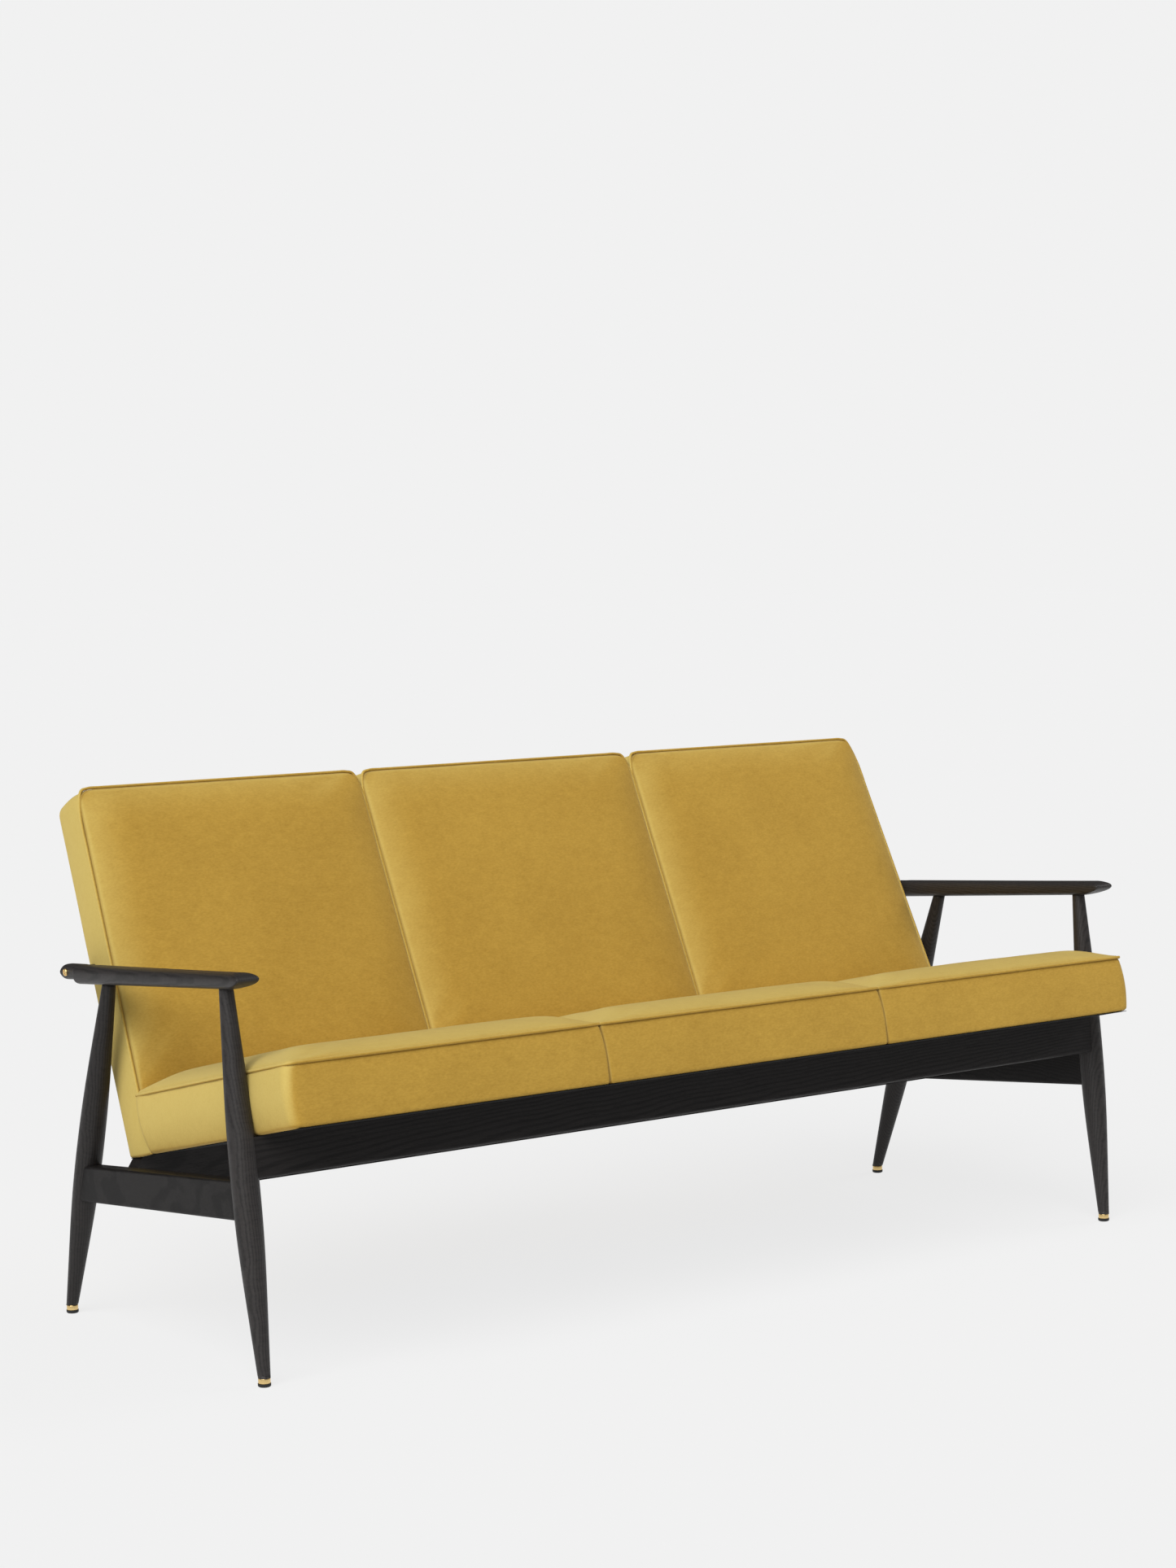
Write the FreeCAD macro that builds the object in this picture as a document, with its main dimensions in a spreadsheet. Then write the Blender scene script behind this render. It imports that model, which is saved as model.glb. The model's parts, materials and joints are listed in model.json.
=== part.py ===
"""Three-seat sofa with turned wooden legs, as a parametric document.

Millimetres. +Z is up, the sofa faces -Y, +X is to the right of someone who sits on it, and the origin is
on the floor under the middle of the sofa. Slopes are rise over run in the side view (Y, Z).
"""
import FreeCAD, Part
import math
import os

import Sketcher
from FreeCAD import Placement, Rotation, Vector

DIMENSIONS = [
    ("leg_plane", 838, "leg axes from the middle of the sofa"),
    ("foot_front", -293.6, "front foot, depth position"),
    ("foot_rear", 289.6, "rear foot, depth position"),
    ("front_lean", 0.1188, "front leg: run back per unit of height"),
    ("rear_lean", -0.3269, "rear leg: run back per unit of height"),
    ("leg_foot_radius", 9.1, "leg radius at the ferrule"),
    ("swell_start", 176, "along the leg: end of the lower taper"),
    ("swell_start_radius", 19.1, "leg radius there"),
    ("swell_end", 400, "along the leg: start of the upper taper"),
    ("swell_end_radius", 18, "leg radius there"),
    ("swell_bulge", 1.2, "how far the swell rises above a straight line"),
    ("leg_top_radius", 10.3, "radius of the round tenon in the armrest"),
    ("tenon_shoulder", 5, "straight part of the tenon below the armrest"),
    ("tenon_length", 15, "leg tenon inside the armrest"),
    ("foot_allowance", 4, "leg turned this far below the ferrule top, before it is levelled"),
    ("glide_radius", 9.5, "floor glide"),
    ("glide_height", 5, "floor glide"),
    ("glide_round", 2.5, "rounded lower edge of the glide"),
    ("ferrule_radius", 8.8, "brass ferrule"),
    ("ferrule_top", 13, "top of the ferrule above the floor"),
    ("ferrule_bore", 6, "radius of the wooden pin in the ferrule"),
    ("pin_overlap", 1, "wooden pin inside the leg"),
    ("nail_radius", 1.5, "nail of the glide"),
    ("nail_top", 28, "top of the nail above the floor"),
    ("arm_front_height", 560, "armrest underside at the front leg"),
    ("arm_slope", -0.0792, "armrest underside"),
    ("arm_width", 38, "armrest bar"),
    ("arm_front_reach", 22, "armrest underside forward of the front leg"),
    ("arm_undercut", 41, "how far the front end leans out"),
    ("arm_front_height_bar", 23, "armrest bar depth at the front"),
    ("arm_rear_height_bar", 30, "armrest bar depth at the rear"),
    ("arm_bar_length", 432, "front leg to the step of the tongue"),
    ("arm_tongue_length", 53, "tongue behind the step"),
    ("arm_tongue_inset", 8, "outer step of the tongue"),
    ("arm_tongue_rise", 6, "lower step of the tongue"),
    ("arm_round", 8.2, "rounding along the bar"),
    ("arm_tip_round", 8, "rounding of the tongue tip"),
    ("rail_front_mid", 264, "side rail centre at the front leg axis"),
    ("rail_rear_mid", 217, "side rail centre at the rear leg axis"),
    ("rail_height", 57, "side rail"),
    ("rail_thick", 30, "side rail"),
    ("apron_bottom", 293.5, "front rail, lower edge"),
    ("apron_top", 350, "front rail, about its upper edge"),
    ("apron_forward", 16, "front rail face ahead of the leg axis"),
    ("apron_thick", 26, "front and rear rails"),
    ("rear_rail_front", 95, "rear rail, front face"),
    ("rear_rail_bottom", 208, "rear rail, lower edge"),
    ("rear_rail_shoulder_high", 24, "cut corner of the rear rail, height"),
    ("rear_rail_shoulder_wide", 16, "cut corner of the rear rail, width"),
    ("board_round", 4, "rounded edges of the rails"),
    ("dowel_radius", 5, "joint dowels"),
    ("dowel_length", 44, "joint dowels"),
    ("dowel_pitch", 26, "between the two dowels of a joint"),
    ("rear_dowel_pitch", 18.2, "between the two dowels of the rear rail"),
    ("rail_dowel_offset", 20, "dowel middle from the leg axis, along the side rail"),
    ("apron_dowel_offset", 22, "dowel middle from the leg plane, front rail"),
    ("rear_dowel_height", 20, "dowel middle above the lower edge of the rear rail"),
    ("seat_front", -371.5, "lower front edge of the seat"),
    ("seat_bottom", 376.5, "lower front edge of the seat"),
    ("seat_slope", -0.2263, "seat falls to the rear"),
    ("seat_half_width", 818, "seat cover"),
    ("seat_depth", 436, "seat underside, front to back cushion"),
    ("seat_rear_flare", 0.2222, "seat rear face follows the backrest"),
    ("seat_height", 98, "seat pad, underside to mean crown"),
    ("section_half", 274.5, "middle section, half width"),
    ("section_gap", 0.3, "half the gap between sections"),
    ("skirt", 9, "padding around the frames"),
    ("back_skirt", 6, "padding around the back frame"),
    ("play", 1, "room between pads and frames"),
    ("overcut", 5, "how far cutting tools reach past the material"),
    ("frame_height", 40, "seat frame members"),
    ("frame_side", 25, "seat side and front members"),
    ("frame_rear", 45, "seat rear member"),
    ("bearer_width", 36, "seat bearers and back posts"),
    ("strap_width", 50, "webbing"),
    ("strap_thick", 2, "webbing"),
    ("strap_pitch", 131, "webbing"),
    ("strap_end", 3, "webbing ends inside the frame edge"),
    ("back_strap_foot", 26, "lower end of the back webbing"),
    ("cover_thick", 1, "dust cover"),
    ("cover_inset", 4, "dust cover inside the edge of the cushions"),
    ("back_foot", 54.2, "backrest front plane at the seat underside"),
    ("back_slope", 0.4722, "backrest front plane: run back per unit of height"),
    ("back_half_width", 814.5, "backrest at its foot"),
    ("back_taper", 0.0499, "backrest half width lost per unit of height"),
    ("back_height", 587, "backrest along its plane"),
    ("pad_round", 10, "soft edges of the pads"),
    ("back_pad_depth", 70.7, "back pads"),
    ("back_thick", 76, "backrest with its rear panel"),
    ("panel_gap", 0.3, "between back pads and rear panels"),
    ("back_corner", 28, "rounded upper corners of the back pads"),
    ("back_frame_front", 38, "back frame behind the front plane"),
    ("back_frame_thick", 32, "back frame boards"),
    ("stile_width", 45, "back frame boards"),
    ("back_frame_drop", 8, "back frame below the top of the backrest"),
    ("lower_member_top", 62, "back lower member, upper edge"),
    ("bolt_radius", 4, "arm bolt shank"),
    ("bolt_head_radius", 5.6, "arm bolt head"),
    ("bolt_head_height", 2.6, "arm bolt head"),
    ("bolt_head_round", 1.56, "rounded rim of the arm bolt head"),
    ("bolt_depth", 35, "arm bolt inside the back frame"),
    ("bolt_from_tip", 19, "arm bolt ahead of the tongue tip"),
    ("slot_width", 1.6, "screwdriver slot"),
    ("slot_depth", 1.2, "screwdriver slot"),
    ("slot_turn", 40, "screwdriver slot, degrees"),
    ("spacer_radius", 8, "turned spacer"),
    ("insert_radius", 7, "threaded insert"),
    ("insert_length", 29, "threaded insert"),
    ("screw_radius", 3.5, "frame screws"),
    ("screw_head_radius", 6.5, "frame screws"),
    ("screw_head_height", 4, "frame screws"),
    ("screw_length", 62, "frame screws"),
    ("screw_rise", 24, "frame screws above the rails"),
    ("rear_screw_out", 650, "outer screws of the rear rail"),
    ("plate_width", 40, "tie plates"),
    ("plate_length", 96, "tie plates"),
    ("plate_thick", 3, "tie plates"),
    ("plate_ahead", 40, "tie plates ahead of the rear edge of the seat"),
    ("plate_out", 520, "outer tie plates from the middle"),
    ("plate_screw_side", 12, "plate screws from the middle of the plate"),
    ("plate_screw_first", 10, "first pair of plate screws"),
    ("plate_screw_second", 30, "second pair of plate screws"),
    ("plate_screw_end", 8, "last pair of plate screws, from the end of the plate"),
    ("plate_screw_radius", 2.2, "plate screws"),
    ("plate_screw_length", 28, "plate screws"),
]

doc = FreeCAD.newDocument("sofa")
sheet = doc.addObject("Spreadsheet::Sheet", "dims")
for row, (alias, number, note) in enumerate(DIMENSIONS, start=1):
    sheet.set(f"A{row}", note)
    sheet.set(f"B{row}", str(number))
    sheet.setAlias(f"B{row}", alias)
doc.recompute()

SIDES = {"left": -1, "right": 1}
NEAR = 0.5  # two positions closer than this are the same place
SEAT_STRAPS = 12
BACK_STRAPS = 11
SLOPES_ALONG = 0.9  # cosine above which an edge counts as running along an axis
pieces = []


# ---- reading and binding -------------------------------------------------------------------------------

def value(expression):
    """Number that an expression over the sheet gives now."""
    found = sheet.evalExpression(expression)
    return float(getattr(found, "Value", found))


def piece(label, feature):
    """Hand a finished sub-part over under its own name."""
    feature.Label = label
    pieces.append(feature)
    return feature


def bind(feature, **expressions):
    for name, expression in expressions.items():
        feature.setExpression(name, expression)


def tilted(x, y, z, slope):
    """Frame at a point whose Y axis runs along a line of this slope in the side view."""
    return Placement(Vector(x, y, z), Rotation(Vector(1, 0, 0), math.degrees(math.atan(slope))))


def shifted(frame, x, y, z):
    return frame.multiply(Placement(Vector(x, y, z), Rotation()))


# ---- building blocks -----------------------------------------------------------------------------------

def origin_plane(body, role):
    return next(f for f in body.Origin.OriginFeatures if f.Role == role)


def new_body(name, frame=None):
    body = doc.addObject("PartDesign::Body", name)
    body.Placement = frame or Placement()
    return body


def pin(sketch, line, corner):
    """Hold the start of a line at a corner given by two expressions."""
    for kind, expression, axis in zip(("DistanceX", "DistanceY"), corner, (-2, -1)):
        number = value(expression)
        if number == 0:
            sketch.addConstraint(Sketcher.Constraint("PointOnObject", line, 1, axis))
            continue
        index = sketch.addConstraint(Sketcher.Constraint(kind, -1, 1, line, 1, number))
        name = f"corner{line}{kind[-1]}"
        sketch.renameConstraint(index, name)
        sketch.setExpression(f"Constraints.{name}", expression)


def bulged(sketch, line, corners, bulge):
    """Turn one side of an outline into an arc that rises this far to its right; returns the arc."""
    (x0, y0), (x1, y1) = corners[line], corners[(line + 1) % len(corners)]
    start, end = (Vector(value(x), value(y), 0) for x, y in ((x0, y0), (x1, y1)))
    along = end - start
    outward = Vector(along.y, -along.x, 0).normalize()
    top = (start + end) * 0.5 + outward * value(bulge)
    chord_squared = f"(({x1}) - ({x0})) ^ 2 + (({y1}) - ({y0})) ^ 2"
    return Part.Arc(start, top, end), f"(({chord_squared}) / 4 + ({bulge}) ^ 2) / (2 * ({bulge}))"


def outline(body, role, corners, arc_side=None, bulge=None):
    """Closed outline on an origin plane, every corner bound to the sheet; one side may be an arc."""
    sketch = body.newObject("Sketcher::SketchObject", body.Name + "Outline")
    sketch.AttachmentSupport = [(origin_plane(body, role), "")]
    sketch.MapMode = "FlatFace"
    points = [Vector(value(x), value(y), 0) for x, y in corners]
    for side, (start, end) in enumerate(zip(points, points[1:] + points[:1])):
        if side == arc_side:
            arc, radius = bulged(sketch, side, corners, bulge)
            sketch.addGeometry(arc)
        else:
            sketch.addGeometry(Part.LineSegment(start, end))
    for line, corner in enumerate(corners):
        before = (line or len(corners)) - 1
        sketch.addConstraint(Sketcher.Constraint("Coincident", before, 2, line, 1))
        pin(sketch, line, corner)
    if arc_side is not None:
        index = sketch.addConstraint(Sketcher.Constraint("Radius", arc_side, value(radius)))
        sketch.renameConstraint(index, "swell")
        sketch.setExpression("Constraints.swell", radius)
    return sketch


def pad(body, role, corners, length, centred=False, reverse=False):
    """Pad of an outline."""
    feature = body.newObject("PartDesign::Pad", body.Name + "Pad")
    feature.Profile = outline(body, role, corners)
    feature.Midplane = centred
    feature.Reversed = reverse
    bind(feature, Length=length)
    doc.recompute()
    return feature


def revolve(body, corners, arc_side=None, bulge=None):
    """Solid of revolution about the body's own Z axis."""
    sketch = outline(body, "XZ_Plane", corners, arc_side, bulge)
    feature = body.newObject("PartDesign::Revolution", body.Name + "Revolution")
    feature.Profile = sketch
    feature.ReferenceAxis = (sketch, ["V_Axis"])
    feature.Angle = 360
    doc.recompute()
    return feature


def round_edges(body, feature, radius, chosen):
    """Fillet the edges of a feature that a test chooses."""
    names = [f"Edge{i}" for i, edge in enumerate(feature.Shape.Edges, start=1) if chosen(edge)]
    fillet = body.newObject("PartDesign::Fillet", body.Name + "Fillet")
    fillet.Base = (feature, names)
    bind(fillet, Radius=radius)
    doc.recompute()
    return fillet


def runs_along(edge, axis):
    """Whether a straight edge runs mainly along an axis."""
    if edge.Curve.TypeId != "Part::GeomLine":
        return False
    return abs(edge.tangentAt(edge.FirstParameter).dot(axis)) > SLOPES_ALONG


def block(name, low, span, frame):
    """Box from its lowest corner and its sizes, in a frame."""
    box = doc.addObject("Part::Box", name)
    bind(box, Length=span[0], Width=span[1], Height=span[2])
    box.Placement = shifted(frame, *(value(part) for part in low))
    return box


def rod(name, radius, length, place):
    """Cylinder along the Z axis of its place."""
    cylinder = doc.addObject("Part::Cylinder", name)
    bind(cylinder, Radius=radius, Height=length)
    cylinder.Placement = place
    return cylinder


def fuse(name, parts):
    joined = doc.addObject("Part::MultiFuse", name)
    joined.Shapes = parts
    return joined


def group(name, parts):
    """Separate solids under one name."""
    bundle = doc.addObject("Part::Compound", name)
    bundle.Links = parts
    return bundle


def cut(name, base, tools):
    """Base with every tool taken away, one cut after another."""
    result = base
    for number, tool in enumerate(tools):
        step = doc.addObject("Part::Cut", f"{name}_{number}")
        step.Base = result
        step.Tool = tool
        result = step
    return result


def along_x(x, y, z, side=1):
    """Place whose Z axis points to +X, or to -X for side -1."""
    return Placement(Vector(x, y, z), Rotation(Vector(0, 1, 0), 90 * side))


# ---- lines that several sub-parts share ----------------------------------------------------------------

LEGS = {
    "front": ("dims.foot_front", "dims.front_lean"),
    "rear": ("dims.foot_rear", "dims.rear_lean"),
}


def axis_y(row, height):
    """Depth of a leg axis at a height, as an expression."""
    foot, lean = LEGS[row]
    return f"({foot} + (({height}) - dims.ferrule_top) * {lean})"


def seat_line(y):
    """Height of the seat underside at a depth, as an expression."""
    return f"(dims.seat_bottom + dims.seat_slope * (({y}) - dims.seat_front))"


def half_back(height):
    """Half width of the backrest cover at a height along its plane, as an expression."""
    return f"(dims.back_half_width - dims.back_taper * ({height}))"


LEG_PLANE = value("dims.leg_plane")
FERRULE_TOP = value("dims.ferrule_top")
ARM_FRONT_Y = value(axis_y("front", "dims.arm_front_height"))
SEAT = tilted(0, value("dims.seat_front"), value("dims.seat_bottom"), value("dims.seat_slope"))
BACK = Placement(
    Vector(0, value("dims.back_foot"), value(seat_line("dims.back_foot"))),
    Rotation(Vector(1, 0, 0), -math.degrees(math.atan(value("dims.back_slope")))),
)
WORLD = Placement()


def arm_frame(side):
    """On the armrest underside at the front leg axis; Y runs to the rear."""
    return tilted(side * LEG_PLANE, ARM_FRONT_Y, value("dims.arm_front_height"), value("dims.arm_slope"))


def leg_top_height(row):
    """Height at which a leg axis meets the armrest underside."""
    foot, lean = (value(part) for part in LEGS[row])
    slope = value("dims.arm_slope")
    height = value("dims.arm_front_height")
    return (height + slope * (foot - FERRULE_TOP * lean - ARM_FRONT_Y)) / (1 - slope * lean)


# ---- legs and feet -------------------------------------------------------------------------------------

def leg_blank(side_name, row):
    """Turned leg with its round tenon, before the foot is levelled and the joints are drilled."""
    side = SIDES[side_name]
    foot, lean = (value(part) for part in LEGS[row])
    length = (leg_top_height(row) - FERRULE_TOP) * math.hypot(1, lean)
    frame = Placement(
        Vector(side * LEG_PLANE, foot, FERRULE_TOP),
        Rotation(Vector(1, 0, 0), -math.degrees(math.atan(lean))),
    )
    body = new_body(f"blank_{row}_{side_name}", frame)
    revolve(body, [
        ("0", "-dims.foot_allowance"),
        ("dims.leg_foot_radius", "-dims.foot_allowance"),
        ("dims.swell_start_radius", "dims.swell_start"),
        ("dims.swell_end_radius", "dims.swell_end"),
        ("dims.leg_top_radius", f"{length} - dims.tenon_shoulder"),
        ("dims.leg_top_radius", f"{length} + dims.tenon_length"),
        ("0", f"{length} + dims.tenon_length"),
    ], arc_side=2, bulge="dims.swell_bulge")
    return body


def foot_parts(side_name, row):
    """Glide with its nail, brass ferrule, and the wooden pin that the ferrule slides on."""
    x = SIDES[side_name] * LEG_PLANE
    y = value(LEGS[row][0])
    floor = Placement(Vector(x, y, 0), Rotation())
    tag = f"{row}_{side_name}"
    glide = new_body(f"glidebody_{tag}", floor)
    disc = revolve(glide, [
        ("0", "0"),
        ("dims.glide_radius", "0"),
        ("dims.glide_radius", "dims.glide_height"),
        ("dims.nail_radius", "dims.glide_height"),
        ("dims.nail_radius", "dims.nail_top"),
        ("0", "dims.nail_top"),
    ])
    round_edges(glide, disc, "dims.glide_round",
                lambda edge: abs(edge.CenterOfMass.z) < NEAR and edge.Closed)
    piece(f"glide_{tag}", glide)
    at_glide_top = shifted(floor, 0, 0, value("dims.glide_height"))
    height = "dims.ferrule_top - dims.glide_height"
    ring = rod(f"ring_{tag}", "dims.ferrule_radius", height, at_glide_top)
    wooden_pin = rod(f"pin_{tag}", "dims.ferrule_bore", f"{height} + dims.pin_overlap", at_glide_top)
    piece(f"ferrule_{tag}", cut(f"ferrule_{tag}", ring, [wooden_pin]))
    return wooden_pin, glide


def leg(side_name, row, blank, drilled):
    """Levelled leg: flat on its ferrule, with a pin inside the ferrule, joint holes and nail hole."""
    tag = f"{row}_{side_name}"
    wooden_pin, glide = foot_parts(side_name, row)
    reach = "(dims.leg_foot_radius + dims.overcut)"
    low = (f"{SIDES[side_name]} * dims.leg_plane - {reach}", f"{LEGS[row][0]} - {reach}", "0")
    floor_cut = block(f"level_{tag}", low, (f"2 * {reach}", f"2 * {reach}", "dims.ferrule_top"), WORLD)
    levelled = cut(f"levelled_{tag}", blank, [floor_cut])
    whole = fuse(f"leg_with_pin_{tag}", [levelled, wooden_pin])
    piece(f"leg_{tag}", cut(f"leg_{tag}", whole, [glide] + drilled))


# ---- rails ---------------------------------------------------------------------------------------------

def side_rail_blank(side_name):
    """Board in the plane of the legs; its ends lie on the leg axes."""
    low_front = "dims.rail_front_mid - dims.rail_height / 2"
    top_front = "dims.rail_front_mid + dims.rail_height / 2"
    low_rear = "dims.rail_rear_mid - dims.rail_height / 2"
    top_rear = "dims.rail_rear_mid + dims.rail_height / 2"
    frame = Placement(Vector(SIDES[side_name] * LEG_PLANE, 0, 0), Rotation())
    body = new_body(f"railbody_{side_name}", frame)
    board = pad(body, "YZ_Plane", [
        (axis_y("front", low_front), low_front),
        (axis_y("rear", low_rear), low_rear),
        (axis_y("rear", top_rear), top_rear),
        (axis_y("front", top_front), top_front),
    ], "dims.rail_thick", centred=True)
    round_edges(body, board, "dims.board_round", lambda edge: runs_along(edge, Vector(0, 1, 0)))
    return body


def apron_blank():
    """Front rail in line with the front legs; its top follows the seat underside."""
    front = f"({axis_y('front', 'dims.apron_top')} - dims.apron_forward)"
    rear = f"({front} + dims.apron_thick)"
    low_front = f"({axis_y('front', 'dims.apron_bottom')} - dims.apron_forward)"
    body = new_body("apronbody")
    board = pad(body, "YZ_Plane", [
        (low_front, "dims.apron_bottom"),
        (f"{low_front} + dims.apron_thick", "dims.apron_bottom"),
        (rear, seat_line(rear)),
        (front, seat_line(front)),
    ], "2 * dims.leg_plane", centred=True)
    bottom = value("dims.apron_bottom")
    round_edges(body, board, "dims.board_round",
                lambda edge: runs_along(edge, Vector(1, 0, 0)) and abs(edge.CenterOfMass.z - bottom) < NEAR)
    return body


def rear_rail_blank():
    """Rear rail between the side rails, with its upper corners cut away."""
    half = "(dims.leg_plane - dims.rail_thick / 2)"
    top = seat_line("dims.rear_rail_front")
    shoulder = f"({top} - dims.rear_rail_shoulder_high)"
    inner = f"({half} - dims.rear_rail_shoulder_wide)"
    body = new_body("rearrailbody", Placement(Vector(0, value("dims.rear_rail_front"), 0), Rotation()))
    pad(body, "XZ_Plane", [
        (f"-{half}", "dims.rear_rail_bottom"),
        (half, "dims.rear_rail_bottom"),
        (half, shoulder),
        (inner, top),
        (f"-{inner}", top),
        (f"-{half}", shoulder),
    ], "dims.apron_thick", reverse=True)
    above_seat_plane = block("above_rear_rail", ("-dims.leg_plane", "dims.seat_depth / 2", "0"),
                             ("2 * dims.leg_plane", "dims.seat_depth", "dims.apron_thick"), SEAT)
    return cut("rear_rail_bevelled", body, [above_seat_plane])


def dowel_pair(name, centre, direction, pitch="dims.dowel_pitch"):
    """Two dowels along a direction, one above the other about a centre."""
    turn = Rotation(Vector(0, 0, 1), direction)
    back = direction.normalize() * (-value("dims.dowel_length") / 2)
    rods = []
    for number, offset in enumerate((-0.5, 0.5)):
        start = centre + back + Vector(0, 0, offset * value(pitch))
        place = Placement(start, turn)
        rods.append(rod(f"{name}_{number}", "dims.dowel_radius", "dims.dowel_length", place))
    return rods


def side_joint(side_name, row):
    """Dowels between a side rail and a leg, along the rail."""
    mid = f"dims.rail_{row}_mid"
    y, z = value(axis_y(row, mid)), value(mid)
    run = value(axis_y("rear", "dims.rail_rear_mid")) - value(axis_y("front", "dims.rail_front_mid"))
    rise = value("dims.rail_rear_mid - dims.rail_front_mid")
    toward = Vector(0, run, rise) * (1 if row == "front" else -1)
    inward = Vector(toward).normalize() * value("dims.rail_dowel_offset")
    centre = Vector(SIDES[side_name] * LEG_PLANE, y, z) + inward
    return dowel_pair(f"dowel_{row}_{side_name}", centre, toward)


def apron_joint(side_name):
    """Dowels between the front rail and a leg, along X."""
    side = SIDES[side_name]
    mid = value("(dims.apron_bottom + dims.apron_top) / 2")
    y = value(f"{axis_y('front', str(mid))} - dims.apron_forward + dims.apron_thick / 2")
    centre = Vector(side * value("dims.leg_plane - dims.apron_dowel_offset"), y, mid)
    return dowel_pair(f"dowel_apron_{side_name}", centre, Vector(-side, 0, 0))


def rear_rail_joint(side_name):
    """Dowels between the rear rail and a side rail, along X; one above the other, close together."""
    side = SIDES[side_name]
    y = value("dims.rear_rail_front + dims.apron_thick / 2")
    z = value("dims.rear_rail_bottom + dims.rear_dowel_height")
    centre = Vector(side * value("dims.leg_plane - dims.rail_thick / 2"), y, z)
    return dowel_pair(f"dowel_rear_{side_name}", centre, Vector(-side, 0, 0), "dims.rear_dowel_pitch")


# ---- armrests and their bolts --------------------------------------------------------------------------

def bolt_point():
    """Centre line of an arm bolt in the armrest frame (Y, Z)."""
    along = value("dims.arm_bar_length + dims.arm_tongue_length - dims.bolt_from_tip")
    up = value("(dims.arm_tongue_rise + dims.arm_rear_height_bar) / 2")
    return along, up


def stile_face(height):
    """Outer face of a back stile at a height along the backrest plane."""
    return value(f"{half_back(str(height))} - dims.back_skirt")


def arm_bolt(side_name):
    """Slotted brass bolt from the tongue into the back frame; its axis is X."""
    side = SIDES[side_name]
    along, up = bolt_point()
    centre = arm_frame(side).multVec(Vector(0, along, up))
    outer = LEG_PLANE + value("dims.arm_width / 2 - dims.arm_tongue_inset")
    height_on_back = BACK.inverse().multVec(centre).z
    tip = stile_face(height_on_back) - value("dims.bolt_depth")
    place = along_x(side * tip, centre.y, centre.z, side)
    length = outer - tip
    body = new_body(f"boltbody_{side_name}", place)
    bolt = revolve(body, [
        ("0", "0"),
        ("dims.bolt_radius", "0"),
        ("dims.bolt_radius", f"{length}"),
        ("dims.bolt_head_radius", f"{length}"),
        ("dims.bolt_head_radius", f"{length} + dims.bolt_head_height"),
        ("0", f"{length} + dims.bolt_head_height"),
    ])
    top = length + value("dims.bolt_head_height")
    round_edges(body, bolt, "dims.bolt_head_round",
                lambda edge: abs(edge.CenterOfMass.z - top) < NEAR and edge.Closed)
    slot_turn = Rotation(Vector(0, 0, 1), value("dims.slot_turn"))
    slot = block(f"slot_{side_name}", ("-dims.bolt_head_radius", "-dims.slot_width / 2", "-dims.slot_depth"),
                 ("2 * dims.bolt_head_radius", "dims.slot_width", "dims.slot_depth + dims.overcut"),
                 place.multiply(Placement(Vector(0, 0, top), slot_turn)))
    piece(f"arm_bolt_{side_name}", cut(f"arm_bolt_{side_name}", body, [slot]))
    return body, place, stile_face(height_on_back)


def armrest(side_name, blanks, bolt):
    """Rounded bar with an undercut front end and a stepped tongue at the rear."""
    side = SIDES[side_name]
    frame = arm_frame(side)
    body = new_body(f"armbody_{side_name}", frame)
    end = "(dims.arm_bar_length + dims.arm_tongue_length)"
    bar = pad(body, "YZ_Plane", [
        ("-dims.arm_front_reach", "0"),
        (end, "0"),
        (end, "dims.arm_rear_height_bar"),
        ("-dims.arm_front_reach - dims.arm_undercut", "dims.arm_front_height_bar"),
    ], "dims.arm_width", centred=True)
    round_edges(body, bar, "dims.arm_round", lambda edge: runs_along(edge, Vector(0, 1, 0)))
    outer = "(dims.arm_width / 2 - dims.arm_tongue_inset)"
    low_x = outer if side > 0 else "-dims.arm_width / 2 - dims.overcut"
    long_enough = "2 * dims.arm_tongue_length"
    step_width = "dims.arm_tongue_inset + dims.overcut"
    step = block(f"step_{side_name}", (low_x, "dims.arm_bar_length", "-dims.overcut"),
                 (step_width, long_enough, "2 * dims.arm_rear_height_bar"), frame)
    under_start = "dims.arm_bar_length + dims.arm_tongue_rise"
    under = block(f"under_{side_name}", ("-dims.arm_width", under_start, "-dims.overcut"),
                  ("2 * dims.arm_width", long_enough, "dims.arm_tongue_rise + dims.overcut"), frame)
    stepped = cut(f"arm_stepped_{side_name}", body, [step, under])
    doc.recompute()
    tip = value(end)
    eased = doc.addObject("Part::Fillet", f"arm_eased_{side_name}")
    eased.Base = stepped
    to_frame = frame.inverse()
    radius = value("dims.arm_tip_round")

    def at_tip(edge):
        middle = to_frame.multVec(edge.CenterOfMass)
        return abs(middle.y - tip) < NEAR and runs_along(edge, Vector(1, 0, 0))

    numbered = enumerate(stepped.Shape.Edges, start=1)
    eased.Edges = [(number, radius, radius) for number, edge in numbered if at_tip(edge)]
    piece(f"armrest_{side_name}", cut(f"armrest_{side_name}", eased, blanks + [bolt]))


def spacer_and_insert(side_name, bolt, place, face):
    """Turned spacer between tongue and back frame, and the threaded insert inside the stile."""
    side = SIDES[side_name]
    inner = LEG_PLANE - value("dims.arm_width / 2")
    origin = place.Base
    spacer_place = along_x(side * face, origin.y, origin.z, side)
    wood = rod(f"spacer_rod_{side_name}", "dims.spacer_radius", f"{inner - face}", spacer_place)
    piece(f"arm_spacer_{side_name}", cut(f"arm_spacer_{side_name}", wood, [bolt]))
    sleeve = rod(f"insert_rod_{side_name}", "dims.insert_radius", "dims.insert_length", place)
    piece(f"arm_insert_{side_name}", cut(f"arm_insert_{side_name}", sleeve, [bolt]))
    return wood, sleeve


# ---- seat ----------------------------------------------------------------------------------------------

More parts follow.
